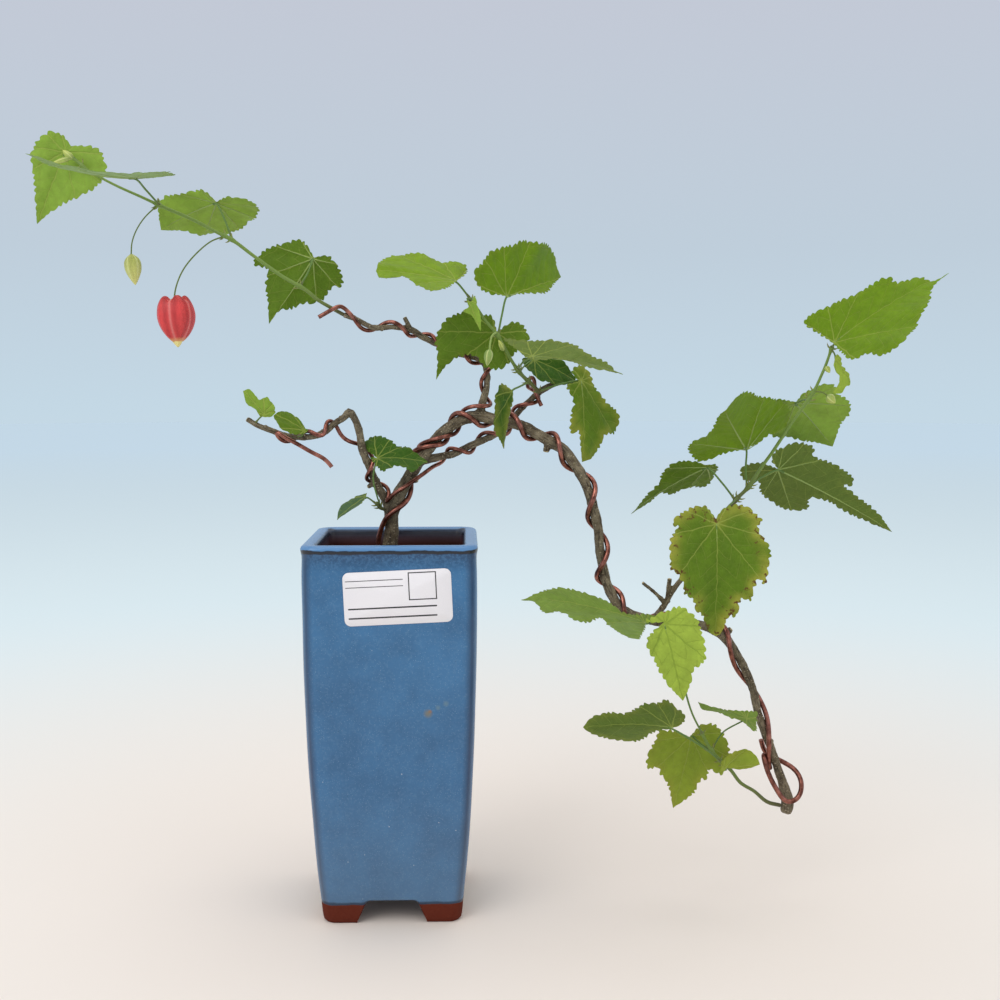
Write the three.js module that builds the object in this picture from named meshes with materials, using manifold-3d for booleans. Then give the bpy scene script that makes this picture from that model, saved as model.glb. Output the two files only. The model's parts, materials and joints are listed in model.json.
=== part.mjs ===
// A flowering maple bonsai, a trailing abutilon that cascades from a tall square pot.
// Millimetres, +Z up. X runs along the pot's front, +Y runs from the front to the back.
// All places are measured from the pot's upright axis and the surface that it stands on. The last
// lines move the whole so that the origin is the bottom centre of its bounding box.
import * as THREE from 'three';
import { mergeVertices } from 'three/addons/utils/BufferGeometryUtils.js';
import Module from 'manifold-3d';

const wasm = await Module();
wasm.setup();

// Clearances between pieces that touch
const GAP = 0.3;
const STALK_GAP = 0.45;
// Room for the straight steps of a bent wire
const BEND_ROOM = 0.32;

// Pot
const POT_TOP = 182.6;
const RIM_HALF = 41.2;
const WALL = 6.7;
const FLOOR = 17;
const FOOT_HEIGHT = 9.5;
const ARCH_HEIGHT = 11;
const ARCH_HALF_LOW = 16.6;
const ARCH_HALF_HIGH = 11.8;
const RECESS_HALF = 22;
const RECESS_HEIGHT = 8;
const DRAIN_RADIUS = 6;
const CORNER_STEPS = 5;

// Soil
const SOIL_TOP = 170;
const SOIL_BUMP = 1.3;

// Label
const LABEL_WIDTH = 50;
const LABEL_HEIGHT = 25;
const LABEL_THICK = 0.6;
const LABEL_CORNER = 3;
const LABEL_CENTRE_X = 4.2;
const LABEL_CENTRE_Z = 158.8;
const LABEL_TURN = THREE.MathUtils.degToRad(2.5);

// Wires
const WIRE_THICK = 1.25;
const WIRE_THIN = 1;
const WIRE_SIDES = 5;
const STEPS_A_TURN = 10;

// Leaves
const BLADE = 0.7;
const STALK = 0.6;
const LEAF_POINTS = 34;
const SMALL_LEAF_POINTS = 24;

const vec = ([x, y, z]) => new THREE.Vector3(x, y, z);

// Glaze, clay, bark, wire and greens
const finish = (color, roughness, metalness = 0) =>
  new THREE.MeshStandardMaterial({ color, roughness, metalness });
const GLAZE = finish('#46759f', 0.3);
const SOIL = finish('#3a2c22', 0.95);
const PAPER = finish('#f2f2ee', 0.6);
const BARK = finish('#6b604a', 0.85);
const COPPER = finish('#8f4f3a', 0.4, 0.8);
const SHOOT_GREEN = finish('#7d9a4a', 0.6);
const CALYX = finish('#d04545', 0.5);
const BUD_GREEN = finish('#b9c04f', 0.55);

// Closed surface over a row of rings, which run anticlockwise round the way they travel
function skin(rings, startTip, endTip) {
  const count = rings[0].length;
  const points = rings.flat();
  const start = points.length;
  const end = start + 1;
  points.push(startTip, endTip);
  const faces = [];
  const last = (rings.length - 1) * count;
  for (let i = 0; i < count; i += 1) {
    const j = (i + 1) % count;
    for (let row = 0; row < last; row += count) {
      faces.push(row + i, row + j, row + count + j);
      faces.push(row + i, row + count + j, row + count + i);
    }
    faces.push(start, j, i, end, last + i, last + j);
  }
  return meshOf(points, faces);
}

function meshOf(points, faces) {
  const geometry = new THREE.BufferGeometry();
  const places = points.flatMap((point) => point.toArray());
  geometry.setAttribute('position', new THREE.Float32BufferAttribute(places, 3));
  geometry.setIndex(faces);
  return geometry;
}

// To and from the solid form in which pieces are joined and cut
function solid(geometry) {
  const bare = geometry.clone();
  bare.deleteAttribute('normal');
  bare.deleteAttribute('uv');
  const merged = mergeVertices(bare, 1e-4);
  return new wasm.Manifold(new wasm.Mesh({
    numProp: 3,
    vertProperties: new Float32Array(merged.attributes.position.array),
    triVerts: new Uint32Array(merged.index.array),
  }));
}

function surface(body) {
  const mesh = body.getMesh();
  const geometry = new THREE.BufferGeometry();
  geometry.setAttribute('position', new THREE.BufferAttribute(mesh.vertProperties, 3));
  geometry.setIndex(new THREE.BufferAttribute(mesh.triVerts, 1));
  geometry.computeVertexNormals();
  return geometry;
}

const fuse = (geometries) => surface(geometries.map(solid).reduce((sum, one) => sum.add(one)));

// Stations along a smooth route of [x, y, z, radius] points, each with its place, radius and arc length
function stationsAlong(route, step) {
  const curve = new THREE.CatmullRomCurve3(route.map(vec), false, 'centripetal');
  curve.arcLengthDivisions = route.length * 12;
  const length = curve.getLength();
  const count = Math.max(2, Math.round(length / step));
  return Array.from({ length: count + 1 }, (_, k) => {
    const t = curve.getUtoTmapping(k / count);
    const place = t * (route.length - 1);
    const low = Math.min(Math.floor(place), route.length - 2);
    const radius = THREE.MathUtils.lerp(route[low][3], route[low + 1][3], place - low);
    return { at: curve.getPoint(t), radius, along: length * (k / count) };
  });
}

// Round bar through stations, with ends that bulge by a share of the radius
function bar(stations, sides, startBulge = 0, endBulge = 0) {
  const rings = [];
  const axis = new THREE.Vector3();
  let side = null;
  const tips = [];
  stations.forEach((station, k) => {
    const before = stations[Math.max(k - 1, 0)].at;
    const after = stations[Math.min(k + 1, stations.length - 1)].at;
    axis.subVectors(after, before).normalize();
    if (!side) {
      const helper = Math.abs(axis.y) < 0.9 ? new THREE.Vector3(0, 1, 0) : new THREE.Vector3(1, 0, 0);
      side = helper.cross(axis);
    }
    side = side.clone().addScaledVector(axis, -side.dot(axis)).normalize();
    const up = axis.clone().cross(side);
    rings.push(Array.from({ length: sides }, (_, i) => {
      const angle = (2 * Math.PI * i) / sides;
      return station.at.clone()
        .addScaledVector(side, station.radius * Math.cos(angle))
        .addScaledVector(up, station.radius * Math.sin(angle));
    }));
    const bulge = k === 0 ? -startBulge : endBulge;
    if (k === 0 || k === stations.length - 1) {
      tips.push(station.at.clone().addScaledVector(axis, station.radius * bulge));
    }
  });
  return skin(rings, tips[0], tips[1]);
}

// The place on a row of stations that is nearest to a point
function nearestOn(stations, point) {
  let best = { distance: Infinity };
  const at = new THREE.Vector3();
  for (let k = 0; k + 1 < stations.length; k += 1) {
    const a = stations[k];
    const b = stations[k + 1];
    const line = new THREE.Line3(a.at, b.at);
    const t = line.closestPointToPointParameter(point, true);
    line.at(t, at);
    const distance = at.distanceTo(point);
    if (distance < best.distance) {
      best = {
        distance,
        at: at.clone(),
        radius: THREE.MathUtils.lerp(a.radius, b.radius, t),
        along: THREE.MathUtils.lerp(a.along, b.along, t),
        axis: b.at.clone().sub(a.at).normalize(),
        atEnd: k + 2 === stations.length && t > 0.99,
      };
    }
  }
  return best;
}

// The point beside a stem from which a stalk leaves it towards another point
function besideStem(stems, near, towards) {
  const spots = stems.map((stem) => nearestOn(stem, near)).sort((a, b) => a.distance - b.distance);
  const spot = spots[0];
  const way = towards.clone().sub(spot.at).normalize();
  const lean = spot.atEnd ? 0 : way.dot(spot.axis);
  const out = way.clone().addScaledVector(spot.axis, -lean).normalize();
  return spot.at.clone().addScaledVector(out, spot.radius + STALK_GAP + STALK * Math.abs(lean));
}

// Pot

const POT_OUTSIDE = [
  // half width, corner radius, height
  [32.2, 5.6, 0], [33.2, 6.4, 1.4], [34.1, 6.8, FOOT_HEIGHT], [36.1, 7, 30], [37.9, 7.2, 56],
  [39.3, 7.4, 84], [40.3, 7.6, 114], [40.8, 7.8, 143], [41, 8, 174], [RIM_HALF, 8, 180.2],
];
const POT_LIP = [
  [40.7, 7.6, 181.6], [38.6, 6.4, POT_TOP], [36.2, 5, 182.2], [RIM_HALF - WALL, 4.4, 180.6],
];
const POT_INSIDE = [
  [34, 4.4, 174], [33.4, 4.4, 140], [32, 4.4, 84], [28.4, 4.4, 30], [27.4, 4.4, FLOOR],
];

function roundedSquare(half, corner, z) {
  const points = [];
  for (let quarter = 0; quarter < 4; quarter += 1) {
    for (let i = 0; i <= CORNER_STEPS; i += 1) {
      const angle = (Math.PI / 2) * (quarter + i / CORNER_STEPS);
      const mid = Math.PI / 4 + (Math.PI / 2) * quarter;
      const inner = (half - corner) * Math.SQRT2;
      points.push(new THREE.Vector3(
        inner * Math.cos(mid) + corner * Math.cos(angle),
        inner * Math.sin(mid) + corner * Math.sin(angle),
        z,
      ));
    }
  }
  return points;
}

function archAlongX() {
  const shape = new THREE.Shape([
    new THREE.Vector2(-ARCH_HALF_LOW - 0.5, -1), new THREE.Vector2(ARCH_HALF_LOW + 0.5, -1),
    new THREE.Vector2(ARCH_HALF_HIGH, ARCH_HEIGHT), new THREE.Vector2(-ARCH_HALF_HIGH, ARCH_HEIGHT),
  ]);
  const arch = new THREE.ExtrudeGeometry(shape, { depth: 4 * RIM_HALF, bevelEnabled: false });
  arch.translate(0, 0, -2 * RIM_HALF);
  arch.rotateX(Math.PI / 2);
  return arch;
}

function makePot() {
  const rings = [...POT_OUTSIDE, ...POT_LIP, ...POT_INSIDE].map((row) => roundedSquare(...row));
  const shell = solid(skin(rings, new THREE.Vector3(0, 0, 0), new THREE.Vector3(0, 0, FLOOR)));
  const recess = new THREE.BoxGeometry(2 * RECESS_HALF, 2 * RECESS_HALF, 2 * RECESS_HEIGHT);
  const drain = new THREE.CylinderGeometry(DRAIN_RADIUS, DRAIN_RADIUS, 4 * FLOOR, 16);
  drain.rotateX(Math.PI / 2);
  const arch = archAlongX();
  const crossArch = arch.clone().rotateZ(Math.PI / 2);
  const cuts = [recess, drain, arch, crossArch].map(solid);
  return surface(cuts.reduce((rest, cut) => rest.subtract(cut), shell));
}

// Wood. Each limb is a route of [x, y, z, radius].

const MAIN_BRANCH = [
  [-2, 1, 150, 4], [-2, 0.5, 168, 4.4], [-1.5, 0, 178, 3.7], [-0.7, 0, 186, 3.4], [-0.5, -1, 194, 3.5],
  [2.7, -2, 202, 3.3], [6.6, -3, 209, 3], [10.5, -3, 215.6, 2.9], [14, -4, 221, 3], [18.3, -5, 226.3, 2.9],
  [23, -6, 232, 2.7], [29.8, -6, 237, 2.6], [36.5, -6, 240.3, 2.7], [42.2, -6, 241.2, 2.9],
  [50.3, -6, 239.5, 2.7], [62.3, -8, 236.8, 2.6], [69, -9, 233.4, 2.6], [76, -10, 229.2, 2.8],
  [82, -11, 225.8, 2.5], [87, -12, 219.8, 2.5], [91.3, -13, 213, 2.4], [94.8, -13, 205.2, 2.4],
  [96.8, -13, 199, 2.3], [99.4, -13, 188, 2.3], [100.5, -12, 178, 2.3], [102.2, -11, 168, 2.3],
  [105, -10, 158, 2.4], [109, -9, 150.6, 2.4], [113.5, -8, 146, 2.3], [123.7, -6, 141.6, 2.2],
  [133.8, -5, 139.8, 2.4], [144, -3, 139, 2.1], [151.7, -2, 137.7, 2.1], [163.3, 0, 132.3, 2.5],
  [169.6, 0, 124, 2.1], [175, 0, 114.7, 2], [179.2, 0, 104.2, 2], [181.4, 0, 94.8, 2], [184.7, 0, 84.4, 2],
  [189, 0, 74, 2.1], [192.3, 0, 64.4, 2.1], [195.6, 0, 55, 2.4], [197.8, 0, 46.5, 3.2], [197.2, 0, 42, 3.1],
];
const LEFT_BRANCH = [
  [-0.7, -0.6, 190, 2.8], [-3, -2, 200, 2.5], [-5.8, -4, 205, 2.2], [-9.5, -6, 213, 1.9],
  [-12, -8, 220, 1.8],
  [-14, -9, 226, 2], [-15, -10, 233, 1.7], [-17.3, -11, 240, 1.7], [-19.8, -12, 243.5, 1.8],
  [-22.3, -12, 240.8, 1.6], [-26.7, -12, 238, 1.5], [-30.5, -12, 234.6, 1.5], [-35, -12, 232.4, 1.5],
  [-42.7, -12, 231.5, 1.4], [-49.3, -12, 232, 1.4], [-56, -12, 234.3, 1.3], [-62.4, -12, 236.7, 1.25],
  [-68.4, -12, 240, 1.3],
];
const LOW_BRANCH = [
  [14, -3.6, 219.5, 2.2], [19, -2, 220.6, 2], [24, 0, 221.6, 1.8], [29.7, 2, 222.6, 1.75],
  [36.5, 4, 225.8, 1.75], [45.3, 6, 229.6, 1.7], [51.2, 8, 232.4, 1.65], [56.3, 10, 236, 1.7],
  [59.6, 10, 240, 1.5], [63, 9, 244.2, 1.45], [67.4, 8, 248.6, 1.45], [72.6, 7, 253, 1.55],
  [77, 6, 255.7, 1.5],
  [81.3, 5, 257.4, 1.35],
];
const UPPER_BRANCH = [
  [42.2, -6, 240.6, 2.3], [44.3, -5, 249, 1.75], [46, -3, 255.7, 1.6], [46, 0, 262.6, 1.5],
  [43.8, 3, 268, 1.5],
  [36, 5, 270.8, 1.5], [28.2, 6, 273.3, 1.4], [21, 6, 276.6, 1.4], [14.8, 5, 279.6, 1.5],
  [10.5, 4, 282.4, 1.6],
  [6.4, 3, 283.6, 1.4], [2, 2, 284.2, 1.3], [-6.6, 0, 283.7, 1.3], [-9.6, 0, 284.1, 1.3],
  [-17, -1, 287.7, 1.2], [-22.6, -2, 289.8, 1.2],
];
const BARE_TWIG = [
  [128.4, -5.6, 140.6, 2], [130.4, -6.2, 144.6, 1.5], [133.6, -7, 149.4, 1.35], [137.2, -8, 156.5, 1.25],
  [141, -7.6, 161.5, 1.2], [150.4, -6, 174.2, 1.15], [159.3, -5, 188, 1.15], [165.5, -4, 196.4, 1.1],
];
const STUBS = [
  [[133.4, -6.9, 149, 1.1], [131.2, -8.5, 152, 0.95], [127, -10, 156, 0.85], [121.5, -12, 160.6, 0.8]],
  [[134.2, -7.2, 150.6, 1.2], [134.8, -8, 156, 1.05], [135.2, -8.8, 162, 1.05]],
  [[9.2, 3.6, 282.6, 1.3], [7.4, 3.8, 286.4, 1.1], [6.2, 4, 289, 1]],
  [[109, -9, 150.6, 1.6], [105.8, -9.6, 148.4, 1.2], [104.4, -10, 147, 1.1]],
  [[76, -10, 229.4, 2], [74.6, -10.6, 225.4, 1.6], [74.4, -10.8, 224.2, 1.3]],
  [[7.5, -3, 210.4, 1.7], [11.4, -4.4, 210.2, 1.3], [12.4, -4.8, 210.4, 1.1]],
  [[-8.2, -5.4, 209.6, 1.5], [-11, -6, 207.4, 1.1], [-11.8, -6.2, 207, 0.9]],
  [[163.3, 0, 132.4, 2.2], [166.6, -0.6, 134.4, 1.7], [167.6, -0.8, 135.4, 1.2]],
];

const LIMB_STEP = 7;
const LIMB_SIDES = 8;
const main = stationsAlong(MAIN_BRANCH, LIMB_STEP);
const left = stationsAlong(LEFT_BRANCH, LIMB_STEP * 0.8);
const low = stationsAlong(LOW_BRANCH, LIMB_STEP * 0.8);
const upper = stationsAlong(UPPER_BRANCH, LIMB_STEP * 0.8);
const twig = stationsAlong(BARE_TWIG, LIMB_STEP);
const stubs = STUBS.map((stub) => stationsAlong(stub, LIMB_STEP * 0.8));
const limbs = [main, left, low, upper, twig, ...stubs];

const makeWood = () => fuse([
  bar(main, LIMB_SIDES + 1, 0.2, 0.7),
  ...[left, low, upper, twig].map((limb) => bar(limb, LIMB_SIDES - 1, 0)),
  ...stubs.map((stub) => bar(stub, LIMB_SIDES - 2, 0)),
]);

// Green shoots

const SHOOT_LEFT = [
  [-22.95, -2.05, 290, 1.15], [-29.1, -3, 293.4, 1.1], [-34.8, -4, 296.8, 1.05], [-40.4, -5, 301.4, 1.05],
  [-51.7, -7, 308, 1], [-64.2, -9, 317, 1], [-74, -10, 324.3, 1.05], [-81.5, -11, 328, 0.9],
  [-91.3, -12, 333.2, 0.9], [-106, -14, 339.4, 0.9], [-115.7, -15, 343.8, 0.8], [-124.6, -16, 347.7, 0.75],
  [-131.8, -17, 351.3, 0.7], [-137.5, -18, 354.5, 0.65], [-142, -18, 358, 0.65],
  [-145.7, -18.4, 360.8, 0.8],
];
const SHOOT_CENTRE = [
  [71.6, 0.2, 252.9, 1.2], [67.7, -3, 256.6, 1.2], [62.3, -6, 261.7, 1.1], [57.9, -9, 267.7, 1],
  [53.6, -11, 275.3, 0.95], [50.6, -12, 280.3, 0.95], [45, -13, 287, 0.8], [41.7, -14, 292, 0.7],
  [37.6, -15.6, 296.8, 0.7],
];
const SHOOT_RIGHT = [
  [165.85, -3.98, 196.85, 1.1], [168.7, -4, 200.8, 1.1], [173.7, -5, 206.2, 1.15], [179.5, -7, 216, 1.05],
  [184.4, -8, 223.3, 1], [188.3, -9, 229.7, 1], [193.2, -10, 238, 0.95], [199, -11, 246.5, 0.95],
  [203, -12, 252.7, 0.9], [206.5, -13, 261, 0.85], [208.6, -13, 266.2, 0.85], [211, -14, 274.4, 0.75],
];
const SHOOT_LOWER = [
  [193.6, -1.2, 45.2, 1.25], [186.8, -3, 47.6, 1.2], [179.3, -6, 54.2, 1.1], [172, -8, 59.2, 1.1],
  [166.6, -10, 66.2, 1.1], [160.3, -12, 72.3, 1.05], [155, -14, 79, 1], [150.6, -16.2, 87, 0.9],
];
const SPROUT = [[-3.7, -4.1, 195.7, 0.9], [-6, -7, 197.4, 0.85], [-7.4, -8.2, 199.4, 0.8]];

const SHOOT_STEP = 7;
const shoots = {
  left: stationsAlong(SHOOT_LEFT, SHOOT_STEP),
  centre: stationsAlong(SHOOT_CENTRE, SHOOT_STEP),
  right: stationsAlong(SHOOT_RIGHT, SHOOT_STEP),
  lower: stationsAlong(SHOOT_LOWER, SHOOT_STEP),
  sprout: stationsAlong(SPROUT, SHOOT_STEP),
};

// Wires. Places are where a wire crosses the front of the limb that it is wound round.

const MAIN_CROSSINGS = [
  [1.6, -1, 194.8], [20, -5, 227.5], [38, -6, 240.6], [62.4, -8, 236.4], [81, -11, 226.5], [96.5, -13, 201],
  [101.3, -11, 170.6], [112, -8, 147.5], [142, -3.4, 139.1], [166.2, 0, 130], [187.2, 0, 79],
];
const MAIN_START = [[-8.4, -2, 152], [-8.2, -2.2, 168], [-7.6, -2.4, 178], [-5.6, -3.6, 186.5]];
const MAIN_END = [
  [184.6, -1, 72.5], [186.2, -4.5, 64], [190.6, -6, 55], [195.8, -6.6, 48.4], [201.6, -6, 50.4],
  [204, -3, 57.2], [201.8, 1.5, 62.6], [195, 5, 66.4], [187.4, 5.4, 70.4], [184.6, 4.6, 78.4],
];

const LEFT_CROSSINGS = [[-54.5, -12, 233.8], [-34.7, -12, 232.5]];
// Where the wire leaves the branch and cuts the corner, and where it winds on
const LEFT_CORNER = [
  [-29.6, -12.4, 239], [-26.6, -8.6, 237.6], [-24.4, -9, 232.4], [-20.6, -7.6, 229.2], [-13.6, -4.2, 227],
  [-10.6, -4.2, 223.4],
];
const LEFT_RISE = [[-10.8, -7, 216], [-3.4, -2, 200.6]];
const LEFT_START = [
  [-27.9, -16, 217.4], [-31.1, -16, 221.3], [-36.8, -16, 224.1], [-44.3, -16.4, 228.6], [-50, -16, 231.6],
];
const BRIDGE = [
  [0.6, -7.6, 203.8], [5.6, -8.6, 206.8], [10.6, -8.4, 210.2], [16, -6.4, 214], [20.4, -1.6, 217],
  [24.2, 3, 218.4], [26.4, 5.2, 222],
];
const LOW_CROSSINGS = [[32.6, 3, 224.2], [49.8, 7.6, 231.8], [66, 8.5, 247]];
const LOW_END = [
  [72.4, 9.6, 250.2], [70.6, 10.8, 253], [67.2, 8.6, 254.8], [66, 4.4, 255.4], [67.2, 2.6, 260.6],
  [69.4, 1.4, 260.2], [69.4, 1.6, 254.4], [71.6, 2.6, 248.6], [73.4, 3.4, 245.2],
];

const UPPER_START = [
  [12.4, 1.6, 221.8], [13.6, -4, 226], [18.8, -9.6, 229.8], [25.6, -10.6, 231.6], [30.2, -6.6, 232.6],
  [33.2, -2, 236.6], [33.4, -2.6, 241.6], [35.6, -7.6, 245], [41.2, -10, 246.4], [46.4, -8.6, 246],
  [48.4, -4.8, 247.2], [45.8, -1.4, 249.6],
];
const UPPER_CROSSINGS = [[46, -0.6, 261], [36, 5, 270.8], [22, 6, 276], [5, 2.6, 284], [-18, -1.2, 288.2]];
const UPPER_END = [[-23.4, -4, 294.4], [-28, -7.2, 292], [-34.2, -8, 288.4]];

// Helix round a limb from a share of a turn before its first crossing to one after the last
function windRound(limb, crossings, wire, hand, before, after) {
  const marks = crossings.map((place) => nearestOn(limb, vec(place)).along);
  const last = marks.length - 1;
  const knots = [
    [marks[0] - before * (marks[1] - marks[0]), -before],
    ...marks.map((mark, k) => [mark, k]),
    [marks[last] + after * (marks[last] - marks[last - 1]), last + after],
  ];
  const steps = Math.round((before + last + after) * STEPS_A_TURN);
  const front = new THREE.Vector3();
  return Array.from({ length: steps + 1 }, (_, i) => {
    const turn = -before + (i / steps) * (before + last + after);
    const k = Math.max(0, knots.findLastIndex((knot) => knot[1] <= turn));
    const [fromArc, fromTurn] = knots[k];
    const [toArc, toTurn] = knots[Math.min(k + 1, knots.length - 1)];
    const share = toTurn > fromTurn ? (turn - fromTurn) / (toTurn - fromTurn) : 0;
    const spot = stationAt(limb, THREE.MathUtils.lerp(fromArc, toArc, share));
    front.set(0, -1, 0).addScaledVector(spot.axis, spot.axis.y).normalize();
    const side = spot.axis.clone().cross(front);
    const angle = hand * turn * 2 * Math.PI;
    const reach = spot.radius + wire + GAP + BEND_ROOM;
    return spot.at
      .addScaledVector(front, reach * Math.cos(angle))
      .addScaledVector(side, reach * Math.sin(angle));
  });
}

function stationAt(stations, along) {
  let k = stations.findIndex((station) => station.along > along);
  if (k < 1) k = k === 0 ? 1 : stations.length - 1;
  const a = stations[k - 1];
  const b = stations[k];
  const share = THREE.MathUtils.clamp((along - a.along) / (b.along - a.along), 0, 1);
  return {
    at: a.at.clone().lerp(b.at, share),
    radius: THREE.MathUtils.lerp(a.radius, b.radius, share),
    axis: b.at.clone().sub(a.at).normalize(),
  };
}

// Wire through points, pushed clear of the limbs and of the wires wound before it
function layWire(points, wire, step, others) {
  const curve = new THREE.CatmullRomCurve3(points, false, 'centripetal');
  const count = Math.round(curve.getLength() / step);
  const spots = curve.getSpacedPoints(count);
  for (let pass = 0; pass < 6; pass += 1) {
    for (const spot of spots) {
      for (const other of others) {
        const near = nearestOn(other, spot);
        const need = near.radius + wire + GAP + BEND_ROOM;
        if (near.distance < need) {
          const out = spot.clone().sub(near.at).normalize();
          spot.copy(near.at).addScaledVector(out, need);
        }
      }
    }
  }
  let along = 0;
  return spots.map((at, k) => {
    if (k > 0) along += at.distanceTo(spots[k - 1]);
    return { at, radius: wire, along };
  });
}

const stems = [...limbs, ...Object.values(shoots)];
const WIRE_STEP = 3.6;
const wireMain = layWire([
  ...MAIN_START.map(vec),
  ...windRound(main, MAIN_CROSSINGS, WIRE_THICK, 1, 0.05, 0.3),
  ...MAIN_END.map(vec),
], WIRE_THICK, WIRE_STEP * 1.15, stems);
const wireUpper = layWire([
  ...UPPER_START.map(vec),
  ...windRound(upper, UPPER_CROSSINGS, WIRE_THIN, 1, 0.35, 0.2),
  ...UPPER_END.map(vec),
], WIRE_THIN, WIRE_STEP, [...stems, wireMain]);
const wirePair = layWire([
  ...LEFT_START.map(vec),
  ...windRound(left, LEFT_CROSSINGS, WIRE_THIN, -1, 0.05, 0.12),
  ...LEFT_CORNER.map(vec),
  ...windRound(left, LEFT_RISE, WIRE_THIN, -1, 0.3, 0.05),
  ...BRIDGE.map(vec),
  ...windRound(low, LOW_CROSSINGS, WIRE_THIN, 1, 0.3, 0.15),
  ...LOW_END.map(vec),
], WIRE_THIN, WIRE_STEP, [...stems, wireMain, wireUpper]);

// Stalks of flowers and small buds, which grew on the shoots

const LANTERN_STALK = [
  [-77.6, -10.5, 326, 0.6], [-83.7, -12, 323.4, 0.5], [-91.3, -14, 316.5, 0.5], [-96.4, -16, 309.3, 0.5],
  [-99.1, -18, 301.8, 0.5], [-100.1, -19, 295.2, 0.55],
];
const BUD_STALK = [
  [-108, -14, 339.6, 0.55], [-114, -14, 333.9, 0.45], [-118, -14, 327.9, 0.45], [-120, -14, 322.4, 0.45],
  [-120.5, -14, 317, 0.5],
];
const SIDE_STALK = [[202.6, -12, 253.2, 0.6], [206.6, -14, 252.8, 0.5], [209.6, -15.6, 250.8, 0.5]];
const CENTRE_BUD_STALK = [
  [50.2, -13.7, 281, 0.5], [48.3, -16, 279.4, 0.5], [47.3, -18, 275.4, 0.5], [47.1, -18.5, 271.8, 0.6],
];

const BUD_TOP = [-120.4, -14, 316.4];
const BUD_TIP = [-118.9, -14, 303];
const BUD_RADIUS = 4;

// Drop-shaped closed bud: its top, its tip, its greatest radius
function bud(top, tip, radius, sides) {
  const shares = [0.05, 0.18, 0.4, 0.62, 0.82];
  const widths = [0.45, 0.85, 1, 0.78, 0.38];
  const from = vec(top);
  const to = vec(tip);
  const stations = shares.map((share, k) => ({
    at: from.clone().lerp(to, share),
    radius: radius * widths[k],
  }));
  return bar(stations, sides, 0.3, 1);
}

const stem = (route, sides = 5) => bar(stationsAlong(route, SHOOT_STEP * 0.7), sides, 0, 0.5);
const shoot = (name) => bar(shoots[name], 6, 0, 0.6);

const makeShootLeft = () => fuse([
  shoot('left'),
  stem(LANTERN_STALK),
  stem(BUD_STALK),
  bud([-145, -18.2, 360], [-149.4, -18.6, 364], 1.6, 6),
  bud([-146, -18.5, 360.4], [-154.4, -19.4, 357.8], 1.2, 5),
]);
const makeShootCentre = () => fuse([
  shoot('centre'),
  bud([54, -10.6, 272.6], [51.4, -13.8, 277.6], 1.3, 5),
]);
const makeShootRight = () => fuse([
  shoot('right'),
  stem(SIDE_STALK),
  bud([209, -15.2, 251.2], [212.6, -16.2, 247.6], 2.3, 7),
  bud([208.6, -13.4, 265], [209.6, -16, 262], 1.4, 6),
]);
const makeBudCentre = () => fuse([
  stem(CENTRE_BUD_STALK),
  bud([47, -18.5, 272.6], [45.9, -18.6, 265.4], 2.5, 8),
]);

// Flower: the five-ribbed calyx hangs from its stalk like a paper lantern

const LANTERN_TOP = [-100.1, -19, 296];
const LANTERN_TURN = THREE.MathUtils.degToRad(-4);
const LANTERN_PROFILE = [
  // radius, height over the stalk's end
  [2.2, -1.3], [4.4, 0.9], [7, -0.4], [8.8, -4.2], [9.3, -8], [8.5, -12], [6.3, -16], [3.4, -19],
  [1.4, -20.6],
];
const RIBS = 5;
const RIB_DEPTH = 0.1;

function makeLantern() {
  const sides = RIBS * 4;
  const rings = LANTERN_PROFILE.map(([radius, height]) => Array.from({ length: sides }, (_, i) => {
    const angle = (-2 * Math.PI * i) / sides;
    const reach = radius * (1 - RIB_DEPTH * Math.abs(Math.cos((RIBS / 2) * angle)));
    return new THREE.Vector3(reach * Math.cos(angle), reach * Math.sin(angle), height);
  }));
  const lantern = skin(rings, new THREE.Vector3(0, 0, -1.6), new THREE.Vector3(0, 0, -21.2));
  lantern.rotateY(LANTERN_TURN);
  lantern.translate(...LANTERN_TOP);
  return lantern;
}

// Leaves. The outline is the reach from the stalk's end, as a share of the leaf's length, by the angle
// from the tip in degrees.
const OUTLINES = {
  heart: [
    [0, 1], [5, 0.91], [10, 0.82], [17, 0.74], [26, 0.68], [40, 0.64], [55, 0.58], [72, 0.51],
    [90, 0.44], [108, 0.37], [126, 0.31], [143, 0.24], [160, 0.16], [180, 0.05],
  ],
  lobed: [
    [0, 1], [5, 0.86], [10, 0.72], [16, 0.6], [22, 0.58], [30, 0.63], [38, 0.56], [50, 0.47],
    [66, 0.42], [85, 0.37], [104, 0.33], [122, 0.31], [140, 0.28], [158, 0.2], [180, 0.06],
  ],
  round: [
    [0, 1], [6, 0.93], [14, 0.88], [26, 0.84], [42, 0.8], [60, 0.72], [78, 0.62], [95, 0.52],
    [112, 0.44], [130, 0.36], [147, 0.28], [163, 0.18], [180, 0.06],
  ],
};
const TOOTH = 0.028;

function reachAt(outline, angle) {
  const degrees = Math.abs(THREE.MathUtils.radToDeg(angle));
  const k = Math.max(1, outline.findIndex((row) => row[0] >= degrees));
  const [fromAngle, from] = outline[k - 1];
  const [toAngle, to] = outline[k];
  return THREE.MathUtils.lerp(from, to, (degrees - fromAngle) / (toAngle - fromAngle));
}

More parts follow.
